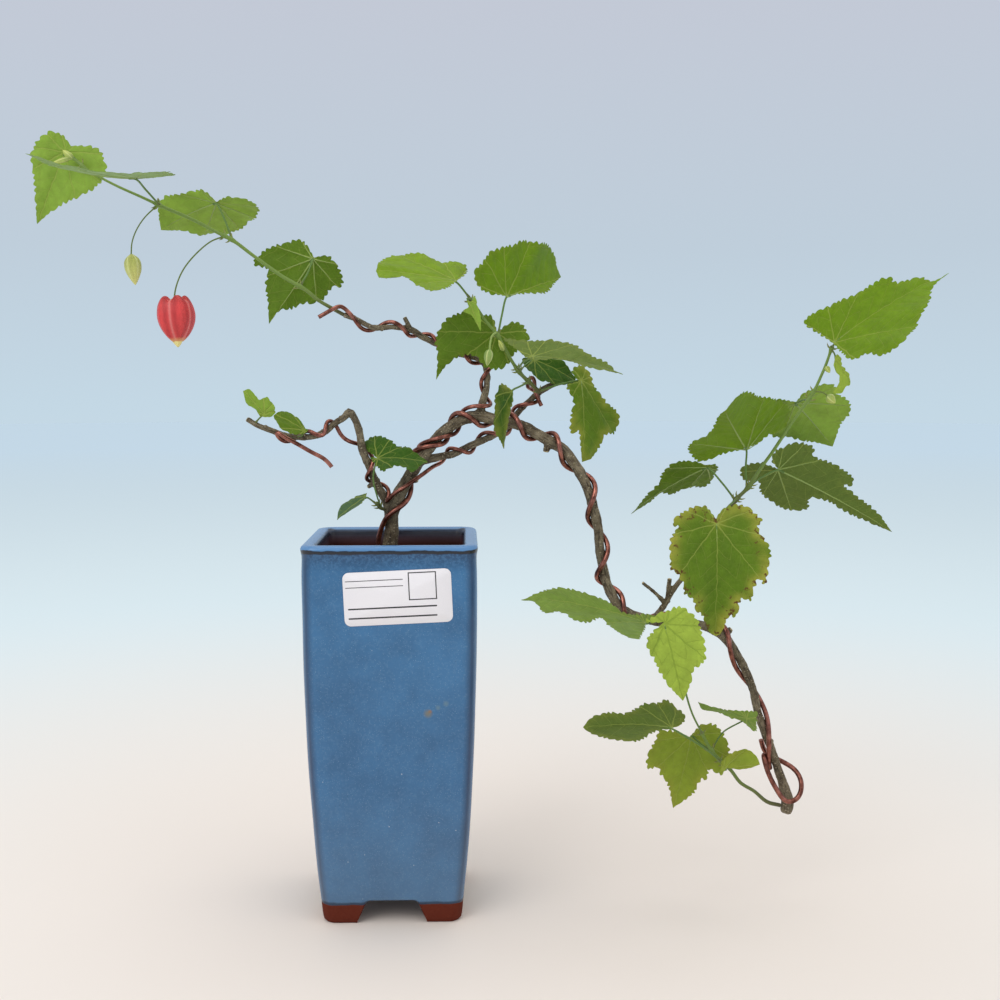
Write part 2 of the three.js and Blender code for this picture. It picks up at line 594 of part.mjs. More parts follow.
// One leaf: blade and stalk grown together. wide scales the left and right half, back the lobes behind
// the stalk's end. fold lifts the halves like an open book, bend droops the tip, both in degrees.
function makeLeaf({
  from, via = [], base, tip, face, kind = 'heart', wide = [1, 1], back = 1, fold = 12, bend = 20, small,
}, stems) {
  const foot = vec(base);
  const reach = vec(tip).sub(foot);
  const turn = THREE.MathUtils.degToRad(bend);
  const radius = 1 / turn;
  const chord = 2 * radius * Math.sin(turn / 2);
  const size = reach.length() / chord;
  const ahead = reach.clone().normalize();
  const up = vec(face).addScaledVector(ahead, -vec(face).dot(ahead)).normalize();
  const side = ahead.clone().cross(up);
  const lift = Math.tan(THREE.MathUtils.degToRad(fold));
  const half = (BLADE / 2) * Math.hypot(1, lift);
  const count = small ? SMALL_LEAF_POINTS : LEAF_POINTS;

  const place = (u, v, layer) => {
    const ripple = 0.018 * Math.sin(9 * Math.atan2(u, v)) * Math.hypot(u, v);
    const high = lift * (Math.hypot(u, 0.04) - 0.04) + ripple + layer / size;
    const angle = v * turn;
    const along = (radius + high) * Math.sin(angle);
    const over = (radius + high) * Math.cos(angle) - radius;
    const tilt = turn / 2;
    return foot.clone()
      .addScaledVector(side, u * size)
      .addScaledVector(ahead, size * (along * Math.cos(tilt) - over * Math.sin(tilt)))
      .addScaledVector(up, size * (along * Math.sin(tilt) + over * Math.cos(tilt)));
  };
  const spot = (share, shrink) => {
    const angle = Math.sign(share) * Math.PI * Math.abs(share) ** 1.3;
    const tooth = shrink < 1 || share === 0 ? 0 : TOOTH;
    const behind = THREE.MathUtils.clamp((THREE.MathUtils.radToDeg(Math.abs(angle)) - 80) / 60, 0, 1);
    const scale = (1 + (back - 1) * behind) * (1 + (Math.round(share * count) % 4 ? -tooth : tooth));
    const toothed = reachAt(OUTLINES[kind], angle) * scale;
    const width = wide[share < 0 ? 0 : 1];
    return [toothed * shrink * Math.sin(angle) * width, toothed * shrink * Math.cos(angle)];
  };
  const shares = (total) => Array.from({ length: total }, (_, i) => (2 * i) / total - 1);
  const outer = shares(count).map((share) => spot(share, 1));
  const inner = shares(count / 2).map((share) => spot(share, 0.55));
  const flat = [[0, 0], ...inner, ...outer];
  const rows = flat.length;
  const points = [half, -half].flatMap((layer) => flat.map(([u, v]) => place(u, v, layer)));
  const faces = [];
  const middle = (i) => 1 + (i % (count / 2));
  const edge = (i) => 1 + count / 2 + (i % count);
  const both = (a, b, c) => faces.push(a, c, b, a + rows, b + rows, c + rows);
  for (let i = 0; i < count / 2; i += 1) {
    both(0, middle(i), middle(i + 1));
    both(middle(i), edge(2 * i), edge(2 * i + 1));
    both(middle(i), edge(2 * i + 1), middle(i + 1));
    both(middle(i + 1), edge(2 * i + 1), edge(2 * i + 2));
  }
  for (let i = 0; i < count; i += 1) {
    faces.push(edge(i), edge(i + 1), edge(i + 1) + rows, edge(i), edge(i + 1) + rows, edge(i) + rows);
  }
  const blade = meshOf(points, faces);

  const next = vec(via[0] ?? base);
  const start = besideStem(stems, vec(from), next);
  const under = place(0, 0.07, -0.25 * BLADE);
  const stalk = [start, ...via.map(vec), place(0, 0, -0.25 * BLADE), under]
    .map((at) => [...at.toArray(), small ? STALK * 0.85 : STALK]);
  return fuse([blade, bar(stationsAlong(stalk, SHOOT_STEP), 5, 0, 0.3)]);
}

const LEAVES = {
  leaf_left_1: {
    from: [-141, -18, 357], via: [[-146, -15.6, 361.6]], base: [-150, -13, 364], tip: [-165, -9, 331],
    face: [-0.04, -0.99, -0.1], wide: [1, 0.8], fold: 8, bend: 12,
  },
  leaf_left_2: {
    from: [-107, -14, 339.5], via: [[-110, -26, 345]], base: [-111, -42, 348], tip: [-157, -48, 356.5],
    face: [0.2, -0.1, 1], wide: [0.75, 0.75], back: 1.8, fold: 3, bend: -24,
  },
  leaf_left_3: {
    from: [-74.5, -10, 324.5], via: [[-78, -6, 334]], base: [-83, 0, 343], tip: [-112.8, 14, 331.7],
    face: [0, 0.6, 0.8], wide: [0.75, 1.35], back: 1.2,
  },
  leaf_left_4: {
    from: [-43, -5.5, 303.5], via: [[-40, 0, 310]], base: [-38.1, 6, 317.1], tip: [-59.5, 4, 285.7],
    face: [0, 1, 0], kind: 'lobed', wide: [1.25, 1.05], back: 0.6,
  },
  leaf_centre_1: {
    from: [37.6, -15.6, 296.8], base: [31.5, -18, 304.8], tip: [-6, -22, 309], face: [0.14, -0.42, 0.9],
    wide: [1.35, 1], back: 0.6,
  },
  leaf_centre_2: {
    from: [51, -12, 280], via: [[53, -12, 289]], base: [55.5, -12, 297.9], tip: [82, 24, 309],
    face: [0.67, -0.62, 0.41], kind: 'round', wide: [0.85, 0.45], back: 1.2, fold: 20,
  },
  leaf_centre_3: {
    from: [50.9, -11.8, 280], via: [[50.8, -7.5, 280.8]], base: [50.7, -4, 281.2], tip: [21.5, -6, 259.6],
    face: [0.08, -0.99, 0.1], wide: [0.9, 1.05], back: 1.4, fold: 4,
  },
  leaf_centre_4: {
    from: [60.3, -8, 263.4], via: [[63, -17, 267]], base: [66.9, -27, 269.5], tip: [108, -34, 261],
    face: [0.12, -0.42, 0.9], wide: [0.9, 0.9], back: 1.6,
  },
  leaf_centre_5: {
    from: [61.5, -7, 262], via: [[65.1, -2, 266.2]], base: [69.2, 3, 268.6], tip: [90, 8, 257.6],
    face: [0.43, -0.77, 0.47], wide: [0.5, 0.9], small: true,
  },
  leaf_centre_6: {
    from: [71.4, 0.2, 253.2], via: [[78, -3, 255.6], [85, -3, 257.4]], base: [91.9, -2, 258.2],
    tip: [92.2, -6, 219], face: [0.48, -0.87, 0.09], kind: 'lobed', wide: [1.3, 0.5], fold: -10,
  },
  leaf_centre_7: {
    from: [66, -4, 257.6], via: [[61.7, -13, 255.6]], base: [57.8, -22, 253.4], tip: [53.8, -22, 226],
    face: [0.62, -0.78, -0.09], wide: [0.5, 1], back: 0.6, small: true,
  },
  leaf_centre_young: {
    from: [38.6, -15.2, 296], base: [36.7, -19, 296.9], tip: [42.3, -21, 281.5], face: [0.3, -0.95, 0.1],
    wide: [0.5, 0.5], fold: 10, bend: 10, small: true,
  },
  leaf_inner_1: {
    from: [-5.6, -6.6, 197.2], via: [[-6.6, -14.4, 203], [-8.3, -16.4, 212]], base: [-6.2, -17, 221.6],
    tip: [17.7, -23, 219.6], face: [-0.1, -0.58, 0.81], wide: [1, 0.7], fold: 8,
  },
  leaf_inner_2: {
    from: [-7.4, -8.2, 199.4], base: [-12, -9.4, 202.6], tip: [-26, -14, 192], face: [-0.38, -0.55, 0.74],
    wide: [0.5, 0.5], back: 0.6, small: true,
  },
  leaf_inner_3: {
    from: [-64.6, -12, 237.8], via: [[-62, -14.6, 240.6]], base: [-60, -15, 242.4],
    tip: [-69, -17, 254.5], face: [0.23, -0.97, 0], wide: [0.5, 0.8], fold: 20, small: true,
  },
  leaf_inner_4: {
    from: [-44.6, -12, 231.6], via: [[-41.6, -16.6, 232.6]], base: [-41, -18.4, 235],
    tip: [-54, -22, 242.6], face: [0.53, -0.55, 0.64], wide: [1, 0.7], back: 0.6, fold: 0, small: true,
  },
  leaf_right_1: {
    from: [211, -14, 274.4], base: [210.6, -20, 276.4], tip: [257, -40, 307], face: [-0.61, -0.53, 0.59],
    wide: [0.7, 1.1], back: 0.7,
  },
  leaf_right_2: {
    from: [201, -11, 249], via: [[200, -5, 249]], base: [197.9, 2, 247.3], tip: [225.1, 30, 224.5],
    face: [-0.16, 0.69, 0.7], wide: [0.85, 0.9], back: 0.6, fold: 0,
  },
  leaf_right_3: {
    from: [174, -5, 206], via: [[171.8, -8, 215]], base: [172.5, -5, 224.8], tip: [151.5, -51, 246],
    face: [-0.42, 0.52, 0.74], wide: [1, 0.65], back: 0.6,
  },
  leaf_right_4: {
    from: [168, -4, 200], via: [[162, -1, 208]], base: [155.6, 6, 215.6], tip: [119.5, 18, 191.1],
    face: [-0.27, 0.68, 0.68], kind: 'lobed', wide: [0.7, 0.85], back: 0.6, fold: 8,
  },
  leaf_right_5: {
    from: [175, -5, 207], via: [[182, 1, 211]], base: [191.4, 8, 214.2], tip: [254.7, 22, 180.9],
    face: [0.05, 0.9, 0.44], kind: 'lobed', wide: [0.7, 0.7], back: 0.7,
  },
  leaf_right_6: {
    from: [169, -4, 201], via: [[161, -16, 197]], base: [154, -28, 191], tip: [153, -34, 139],
    face: [0, -1, 0.1], wide: [0.9, 0.9], back: 0.8,
  },
  leaf_right_young: {
    from: [210.6, -14, 273], via: [[211.4, -17, 271]], base: [211.6, -19, 268.4],
    tip: [209.9, -21, 251.4], face: [0.25, -0.97, 0], wide: [0.85, 0.25], fold: 15, small: true,
  },
  leaf_low_1: {
    from: [125.5, -6.5, 141.5], via: [[125.5, -17, 142.6]], base: [121, -27, 143.6],
    tip: [61.1, -40, 157.1], face: [0.24, -0.3, 0.92], wide: [0.65, 0.5], back: 0.6,
  },
  leaf_low_2: {
    from: [150.6, -16.2, 87], via: [[144, -26, 99.4], [139, -36, 112], [133, -43, 132]],
    base: [126.6, -49, 146.8], tip: [134.8, -53, 112.3], face: [-0.08, -0.97, 0.22], wide: [0.8, 0.55],
    back: 0.8, fold: 8,
  },
  leaf_low_3: {
    from: [160.6, -12, 72], via: [[152, -20, 80]], base: [134, -29, 93], tip: [91, -37, 96],
    face: [0.1, -0.4, 0.9], wide: [0.8, 0.65],
  },
  leaf_low_4: {
    from: [156, -13.6, 77.6], via: [[152, -8, 79]], base: [148, -3, 81.6], tip: [140, 1, 44],
    face: [0, -1, 0],
  },
  leaf_low_5: {
    from: [156, -13.6, 77.6], via: [[162, -12, 86]], base: [172.8, -14, 93.6], tip: [148.6, -16, 102.3],
    face: [0, -0.4, 0.9], wide: [0.8, 0.5], back: 1.4, small: true,
  },
  leaf_low_6: {
    from: [163, -11.2, 69.4], base: [162.1, -16, 68.4], tip: [178.9, -19.6, 71.5],
    face: [0.2, -0.65, 0.72], wide: [0.6, 0.45], back: 0.7, small: true,
  },
};

// Soil, with plain holes for the trunk and the wire

function makeSoil() {
  const sides = POT_INSIDE.slice(1).reverse();
  sides.push([POT_INSIDE[0][0], POT_INSIDE[0][1], SOIL_TOP - 1.4]);
  sides[0] = [sides[0][0], sides[0][1], FLOOR + GAP];
  const rings = sides.map(([half, corner, z]) => roundedSquare(half - GAP - 0.1, corner, z));
  for (const share of [0.96, 0.72, 0.45, 0.2]) {
    rings.push(roundedSquare(share * 33.4, share * 4.4, SOIL_TOP).map((point, i) => {
      const bump = Math.sin(7 * i + 40 * share) * Math.cos(3 * i * share);
      return point.setZ(SOIL_TOP + SOIL_BUMP * bump);
    }));
  }
  const block = solid(skin(rings, new THREE.Vector3(0, 0, FLOOR + GAP), new THREE.Vector3(0, 0, SOIL_TOP)));
  const wider = (stations) => stations
    .filter((station) => station.at.z < SOIL_TOP + 16)
    .map((station) => ({ at: station.at, radius: station.radius + 2 * GAP }));
  const trunkHole = bar(wider(main), LIMB_SIDES + 1, 0.4, 0.4);
  const wireHole = bar(wider(wireMain.slice(0, 14)), 6, 0.4, 0.4);
  return surface([trunkHole, wireHole].map(solid).reduce((rest, hole) => rest.subtract(hole), block));
}

// Label: a blank sticker that lies along the pot's front wall

function makeLabel() {
  const w = LABEL_WIDTH / 2 - LABEL_CORNER;
  const h = LABEL_HEIGHT / 2 - LABEL_CORNER;
  const shape = new THREE.Shape();
  shape.absarc(w, h, LABEL_CORNER, 0, Math.PI / 2);
  shape.absarc(-w, h, LABEL_CORNER, Math.PI / 2, Math.PI);
  shape.absarc(-w, -h, LABEL_CORNER, Math.PI, 1.5 * Math.PI);
  shape.absarc(w, -h, LABEL_CORNER, 1.5 * Math.PI, 2 * Math.PI);
  const depth = LABEL_THICK;
  const label = new THREE.ExtrudeGeometry(shape, { depth, bevelEnabled: false, curveSegments: 4 });
  const [[lowHalf, , lowZ], [highHalf, , highZ]] = [POT_OUTSIDE[7], POT_OUTSIDE[8]];
  const lean = Math.atan2(highHalf - lowHalf, highZ - lowZ);
  const share = (LABEL_CENTRE_Z - lowZ) / (highZ - lowZ);
  label.rotateZ(LABEL_TURN);
  label.rotateX(Math.PI / 2 + lean);
  const wall = THREE.MathUtils.lerp(lowHalf, highHalf, share);
  label.translate(LABEL_CENTRE_X, -wall - GAP, LABEL_CENTRE_Z);
  return label;
}

// Putting the pieces together

const plant = new THREE.Group();

function add(name, geometry, material) {
  const mesh = new THREE.Mesh(geometry, material);
  mesh.name = name;
  plant.add(mesh);
}

add('pot', makePot(), GLAZE);
add('soil', makeSoil(), SOIL);
add('label', makeLabel(), PAPER);
add('trunk', makeWood(), BARK);
add('wire_main', bar(wireMain, WIRE_SIDES, 0, 0.2), COPPER);
add('wire_pair', bar(wirePair, WIRE_SIDES, 0.2, 0.2), COPPER);
add('wire_upper', bar(wireUpper, WIRE_SIDES, 0.2, 0.2), COPPER);
add('shoot_left', makeShootLeft(), SHOOT_GREEN);
add('shoot_centre', makeShootCentre(), SHOOT_GREEN);
add('shoot_right', makeShootRight(), SHOOT_GREEN);
add('shoot_lower', shoot('lower'), SHOOT_GREEN);
add('sprout', shoot('sprout'), SHOOT_GREEN);
add('lantern', makeLantern(), CALYX);
add('bud_yellow', bud(BUD_TOP, BUD_TIP, BUD_RADIUS, 10), BUD_GREEN);
add('bud_centre', makeBudCentre(), BUD_GREEN);

const LEAF_COLOURS = ['#7aa636', '#5f8f2c', '#86b040', '#4f7d2c'];
Object.entries(LEAVES).forEach(([name, leaf], k) => {
  add(name, makeLeaf(leaf, stems), finish(LEAF_COLOURS[k % LEAF_COLOURS.length], 0.55));
});

const box = new THREE.Box3().setFromObject(plant);
plant.position.set(-(box.min.x + box.max.x) / 2, -(box.min.y + box.max.y) / 2, -box.min.z);

export default plant;
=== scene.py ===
import json
import math
import random

import bpy
import numpy as np
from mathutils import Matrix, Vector, geometry, noise

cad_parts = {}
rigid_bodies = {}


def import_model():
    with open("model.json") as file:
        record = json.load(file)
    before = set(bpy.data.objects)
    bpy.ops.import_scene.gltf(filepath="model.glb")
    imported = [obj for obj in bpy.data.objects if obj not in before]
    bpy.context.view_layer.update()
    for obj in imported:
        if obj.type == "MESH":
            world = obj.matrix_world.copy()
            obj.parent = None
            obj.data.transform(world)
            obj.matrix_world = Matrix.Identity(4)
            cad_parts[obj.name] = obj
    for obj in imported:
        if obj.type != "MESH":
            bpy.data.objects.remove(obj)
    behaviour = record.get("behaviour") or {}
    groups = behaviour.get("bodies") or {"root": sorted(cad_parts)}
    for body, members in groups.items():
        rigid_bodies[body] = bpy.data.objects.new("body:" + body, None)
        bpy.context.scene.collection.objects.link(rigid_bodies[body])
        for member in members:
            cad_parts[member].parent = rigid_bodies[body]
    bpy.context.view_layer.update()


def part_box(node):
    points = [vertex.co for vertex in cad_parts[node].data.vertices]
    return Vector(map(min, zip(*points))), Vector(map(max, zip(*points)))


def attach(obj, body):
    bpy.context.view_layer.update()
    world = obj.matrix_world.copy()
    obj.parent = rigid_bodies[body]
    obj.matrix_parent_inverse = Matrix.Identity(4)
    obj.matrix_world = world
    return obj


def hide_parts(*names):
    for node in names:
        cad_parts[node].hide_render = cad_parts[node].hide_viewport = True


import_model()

bl_info = {
    "name": "Flowering maple bonsai",
    "version": (1, 0, 0),
    "blender": (4, 5, 0),
    "location": "View3D > Sidebar > Bonsai",
    "description": "Builds the looks of a cascade bonsai in a tall glazed pot",
    "category": "Add Mesh",
}

# The tables below are in millimetres from the pot's upright axis and the surface that it stands on.
# X runs along the pot's front and Y from the front to the back.
MM = 0.001
POT_LOW, POT_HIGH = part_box("pot")
ORIGIN = np.array([(POT_LOW.x + POT_HIGH.x) / 2, (POT_LOW.y + POT_HIGH.y) / 2, POT_LOW.z])

# The camera of the photo: its place, its focal length in pixels and its turns
EYE = np.array([34.5, -625.5, 257.5])
FOCAL_PX = 1280
PHOTO_PX = 1000
PITCH = math.radians(-5.25)
YAW = math.radians(-1.65)

# Half width, corner radius and height of the pot's walls
POT_OUTSIDE = [
    (32.2, 5.6, 0), (33, 6.2, 0.8), (33.5, 6.5, 3), (34.1, 6.8, 9.5), (36.1, 7, 30), (37.9, 7.2, 56),
    (39.3, 7.4, 84), (40.3, 7.6, 114), (40.8, 7.8, 143), (40.9, 8, 168), (40.7, 8, 175.5), (40.8, 8, 178),
    (41.2, 8, 179.6), (41.3, 8, 180.6),
]
POT_LIP = [
    (40.9, 7.8, 181.6), (40.1, 7.2, 182.3), (38.6, 6.4, 182.6), (37, 5.6, 182.5), (35.7, 4.8, 181.9),
    (34.9, 4.5, 180.9), (34.5, 4.4, 179.4),
]
POT_INSIDE = [(34, 4.4, 174), (33.4, 4.4, 140), (32, 4.4, 84), (28.4, 4.4, 30), (27.6, 4.4, 19), (26.6, 4.4, 17)]
ARCH = [(17.4, -1), (16.6, 0.3), (16.2, 1.4), (13.2, 8), (12.4, 9.6), (11.4, 10.6), (10, 11)]
# How far the arches widen towards the pot's faces, by the distance from its axis, and above which height
ARCH_FLARE = [(32, 0), (32.9, 0.1), (33.5, 0.35), (34.1, 0.8), (34.7, 1.6), (60, 1.6)]
ARCH_SHOULDER = 8
RECESS_HALF = 22
RECESS_HEIGHT = 8
DRAIN_RADIUS = 6
SOIL_TOP = 169.4
SOIL_BLOCK = [(33.6, 4.4, SOIL_TOP - 1.4), (33, 4.4, 140), (31.6, 4.4, 84), (28, 4.4, 30), (27, 4.4, 17.3)]
CRUMBS_PER_M2 = 170000.0
# Points along each corner and each side of the pot's rounded squares
CORNER_POINTS = 12
SIDE_POINTS = 10

# Speckles in the glaze: how close together, how large, how rare, and their colour
SPECKLES = [(1.3, 0.22, 0.45, "#7d9db8"), (0.55, 0.12, 0.72, "#23405f"), (0.16, 0.05, 0.5, "#ccd4d8")]
# Bands of the glaze under the lip: from and to which height, how strong, and their colour
LIP_BANDS = [(170, 178.6, 0.4, "#224467"), (179.2, 179.9, 1, "#1a1a24")]
LIP_LINE = (181.0, 181.5, 1)
# Smudges and single specks on the front: the pixel of the photo, the radius in millimetres, the colour
SMUDGES = [
    ((428, 714), 2.6, "#75715f"), ((430, 712), 1.2, "#94683f"), ((438, 708), 1.6, "#5d7b8c"),
    ((446, 704), 1.8, "#5d7b8c"), ((397, 737), 0.9, "#ccd2d3"), ((390, 800), 0.8, "#ccd2d3"),
    ((420, 870), 1.5, "#2a3a3c"), ((332, 702), 0.6, "#22303f"), ((345, 835), 0.6, "#22303f"),
]

LABEL_CENTRE = (4.2, -40.95, 158.8)
LABEL_TURN = math.radians(2.5)
LABEL_LEAN = 0.0065
LABEL_SIZE = (50, 25)
LABEL_CORNER = 3
LABEL_THICK = 0.2
# From where in the paper to where above it the print reaches
PRINT_LIFT = (0.19, 0.225)
# Middle, width and height of the ruled lines and of the empty box's four edges, from the label's middle
RULED_LINES = [(-10.6, 8.4, 26.6, 0.35), (-10.6, 5.4, 26.6, 0.35), (-2.6, -4.6, 41, 0.7), (-2.6, -9, 41, 0.7)]
EMPTY_BOX = [(11.6, 11.2, 13, 0.5), (11.6, -1.3, 13, 0.5), (5.35, 4.95, 0.5, 12.2), (17.85, 4.95, 0.5, 12.2)]

# Wood: each limb is a route of x, y, z, radius
MAIN_BRANCH = [
    (-2, 1, 150, 4), (-2, 0.5, 168, 4.4), (-1.5, 0, 178, 3.7), (-0.7, 0, 186, 3.4), (-0.5, -1, 194, 3.5),
    (2.7, -2, 202, 3.3), (6.6, -3, 209, 3), (10.5, -3, 215.6, 2.9), (14, -4, 221, 3), (18.3, -5, 226.3, 2.9),
    (23, -6, 232, 2.7), (29.8, -6, 237, 2.6), (36.5, -6, 240.3, 2.7), (42.2, -6, 241.2, 2.9),
    (50.3, -6, 239.5, 2.7), (62.3, -8, 236.8, 2.6), (69, -9, 233.4, 2.6), (76, -10, 229.2, 2.8),
    (82, -11, 225.8, 2.5), (87, -12, 219.8, 2.5), (91.3, -13, 213, 2.4), (94.8, -13, 205.2, 2.4),
    (96.8, -13, 199, 2.3), (99.4, -13, 188, 2.3), (100.5, -12, 178, 2.3), (102.2, -11, 168, 2.3),
    (105, -10, 158, 2.4), (109, -9, 150.6, 2.4), (113.5, -8, 146, 2.3), (123.7, -6, 141.6, 2.2),
    (133.8, -5, 139.8, 2.4), (144, -3, 139, 2.1), (151.7, -2, 137.7, 2.1), (163.3, 0, 132.3, 2.5),
    (169.6, 0, 124, 2.1), (175, 0, 114.7, 2), (179.2, 0, 104.2, 2), (181.4, 0, 94.8, 2), (184.7, 0, 84.4, 2),
    (189, 0, 74, 2.1), (192.3, 0, 64.4, 2.1), (195.6, 0, 55, 2.4), (197.8, 0, 46.5, 3.2), (197.2, 0, 42, 3.1),
]
LEFT_BRANCH = [
    (-0.7, -0.6, 190, 2.8), (-3, -2, 200, 2.5), (-5.8, -4, 205, 2.2), (-9.5, -6, 213, 1.9), (-12, -8, 220, 1.8),
    (-14, -9, 226, 2), (-15, -10, 233, 1.7), (-17.3, -11, 240, 1.7), (-19.8, -12, 243.5, 1.8),
    (-22.3, -12, 240.8, 1.6), (-26.7, -12, 238, 1.5), (-30.5, -12, 234.6, 1.5), (-35, -12, 232.4, 1.5),
    (-42.7, -12, 231.5, 1.4), (-49.3, -12, 232, 1.4), (-56, -12, 234.3, 1.3), (-62.4, -12, 236.7, 1.25),
    (-68.4, -12, 240, 1.3),
]
LOW_BRANCH = [
    (14, -3.6, 219.5, 2.2), (19, -2, 220.6, 2), (24, 0, 221.6, 1.8), (29.7, 2, 222.6, 1.75),
    (36.5, 4, 225.8, 1.75), (45.3, 6, 229.6, 1.7), (51.2, 8, 232.4, 1.65), (56.3, 10, 236, 1.7),
    (59.6, 10, 240, 1.5), (63, 9, 244.2, 1.45), (67.4, 8, 248.6, 1.45), (72.6, 7, 253, 1.55), (77, 6, 255.7, 1.5),
    (81.3, 5, 257.4, 1.35),
]
UPPER_BRANCH = [
    (42.2, -6, 240.6, 2.3), (44.3, -5, 249, 1.75), (46, -3, 255.7, 1.6), (46, 0, 262.6, 1.5), (43.8, 3, 268, 1.5),
    (36, 5, 270.8, 1.5), (28.2, 6, 273.3, 1.4), (21, 6, 276.6, 1.4), (14.8, 5, 279.6, 1.5), (10.5, 4, 282.4, 1.6),
    (6.4, 3, 283.6, 1.4), (2, 2, 284.2, 1.3), (-6.6, 0, 283.7, 1.3), (-9.6, 0, 284.1, 1.3),
    (-17, -1, 287.7, 1.2), (-22.6, -2, 289.8, 1.2),
]
BARE_TWIG = [
    (128.4, -5.6, 140.6, 2), (130.4, -6.2, 144.6, 1.5), (133.6, -7, 149.4, 1.35), (137.2, -8, 156.5, 1.25),
    (141, -7.6, 161.5, 1.2), (150.4, -6, 174.2, 1.15), (159.3, -5, 188, 1.15), (165.5, -4, 196.4, 1.1),
]
STUBS = [
    [(133.4, -6.9, 149, 1.1), (131.2, -8.5, 152, 0.95), (127, -10, 156, 0.85), (121.5, -12, 160.6, 0.8)],
    [(134.2, -7.2, 150.6, 1.2), (134.8, -8, 156, 1.05), (135.2, -8.8, 162, 1.05)],
    [(9.2, 3.6, 282.6, 1.3), (7.4, 3.8, 286.4, 1.1), (6.2, 4, 289, 1)],
    [(109, -9, 150.6, 1.6), (105.8, -9.6, 148.4, 1.2), (104.4, -10, 147, 1.1)],
    [(76, -10, 229.4, 2), (74.6, -10.6, 225.4, 1.6), (74.4, -10.8, 224.2, 1.3)],
    [(7.5, -3, 210.4, 1.7), (11.4, -4.4, 210.2, 1.3), (12.4, -4.8, 210.4, 1.1)],
    [(-8.2, -5.4, 209.6, 1.5), (-11, -6, 207.4, 1.1), (-11.8, -6.2, 207, 0.9)],
    [(163.3, 0, 132.4, 2.2), (166.6, -0.6, 134.4, 1.7), (167.6, -0.8, 135.4, 1.2)],
]

# Green shoots
SHOOTS = {
    "shoot_left": [
        (-22.95, -2.05, 290, 1.15), (-29.1, -3, 293.4, 1.1), (-34.8, -4, 296.8, 1.05), (-40.4, -5, 301.4, 1.05),
        (-51.7, -7, 308, 1), (-64.2, -9, 317, 1), (-74, -10, 324.3, 1.05), (-81.5, -11, 328, 0.9),
        (-91.3, -12, 333.2, 0.9), (-106, -14, 339.4, 0.9), (-115.7, -15, 343.8, 0.8), (-124.6, -16, 347.7, 0.75),
        (-131.8, -17, 351.3, 0.7), (-137.5, -18, 354.5, 0.65), (-142, -18, 358, 0.65), (-145.7, -18.4, 360.8, 0.8),
    ],
    "shoot_centre": [
        (71.6, 0.2, 252.9, 1.2), (67.7, -3, 256.6, 1.2), (62.3, -6, 261.7, 1.1), (57.9, -9, 267.7, 1),
        (53.6, -11, 275.3, 0.95), (50.6, -12, 280.3, 0.95), (45, -13, 287, 0.8), (41.7, -14, 292, 0.7),
        (37.6, -15.6, 296.8, 0.7),
    ],
    "shoot_right": [
        (165.85, -3.98, 196.85, 1.1), (168.7, -4, 200.8, 1.1), (173.7, -5, 206.2, 1.15), (179.5, -7, 216, 1.05),
        (184.4, -8, 223.3, 1), (188.3, -9, 229.7, 1), (193.2, -10, 238, 0.95), (199, -11, 246.5, 0.95),
        (203, -12, 252.7, 0.9), (206.5, -13, 261, 0.85), (208.6, -13, 266.2, 0.85), (211, -14, 274.4, 0.75),
    ],
    "shoot_lower": [
        (193.6, -1.2, 45.2, 1.25), (186.8, -3, 47.6, 1.2), (179.3, -6, 54.2, 1.1), (172, -8, 59.2, 1.1),
        (166.6, -10, 66.2, 1.1), (160.3, -12, 72.3, 1.05), (155, -14, 79, 1), (150.6, -16.2, 87, 0.9),
    ],
    "sprout": [(-3.7, -4.1, 195.7, 0.9), (-6, -7, 197.4, 0.85), (-7.4, -8.2, 199.4, 0.8)],
}
FLOWER_STALKS = {
    "shoot_left": [
        [(-77.6, -10.5, 326, 0.6), (-83.7, -12, 323.4, 0.5), (-91.3, -14, 316.5, 0.5), (-96.4, -16, 309.3, 0.5),
         (-99.1, -18, 301.8, 0.5), (-100.1, -19, 295.2, 0.55)],
        [(-108, -14, 339.6, 0.55), (-114, -14, 333.9, 0.45), (-118, -14, 327.9, 0.45), (-120, -14, 322.4, 0.45),
         (-120.5, -14, 317, 0.5)],
    ],
    "shoot_right": [[(202.6, -12, 253.2, 0.6), (206.6, -14, 252.8, 0.5), (209.6, -15.6, 250.8, 0.5)]],
}
CENTRE_BUD_STALK = [
    (50.2, -13.7, 281, 0.5), (48.3, -16, 279.4, 0.5), (47.3, -18, 275.4, 0.5), (47.1, -18.5, 271.8, 0.6),
]

# Wires: where each crosses the front of its limb, and its free ends
MAIN_CROSSINGS = [
    (1.6, -1, 194.8), (20, -5, 227.5), (38, -6, 240.6), (62.4, -8, 236.4), (81, -11, 226.5), (96.5, -13, 201),
    (101.3, -11, 170.6), (112, -8, 147.5), (142, -3.4, 139.1), (166.2, 0, 130), (187.2, 0, 79),
]
MAIN_START = [(-8.4, -2, 152), (-8.2, -2.2, 168), (-7.6, -2.4, 178), (-5.6, -3.6, 186.5)]
MAIN_END = [
    (184.6, -1, 72.5), (186.2, -4.5, 64), (190.6, -6, 55), (195.8, -6.6, 48.4), (201.6, -6, 50.4),
    (204, -3, 57.2), (201.8, 1.5, 62.6), (195, 5, 66.4), (187.4, 5.4, 70.4), (184.6, 4.6, 78.4),
]
LEFT_CROSSINGS = [(-54.5, -12, 233.8), (-34.7, -12, 232.5)]
LEFT_CORNER = [(-29.6, -12.4, 239), (-26.6, -8.6, 237.6), (-24.4, -9, 232.4), (-20.6, -7.6, 229.2),
               (-13.6, -4.2, 227), (-10.6, -4.2, 223.4)]
LEFT_RISE = [(-10.8, -7, 216), (-3.4, -2, 200.6)]
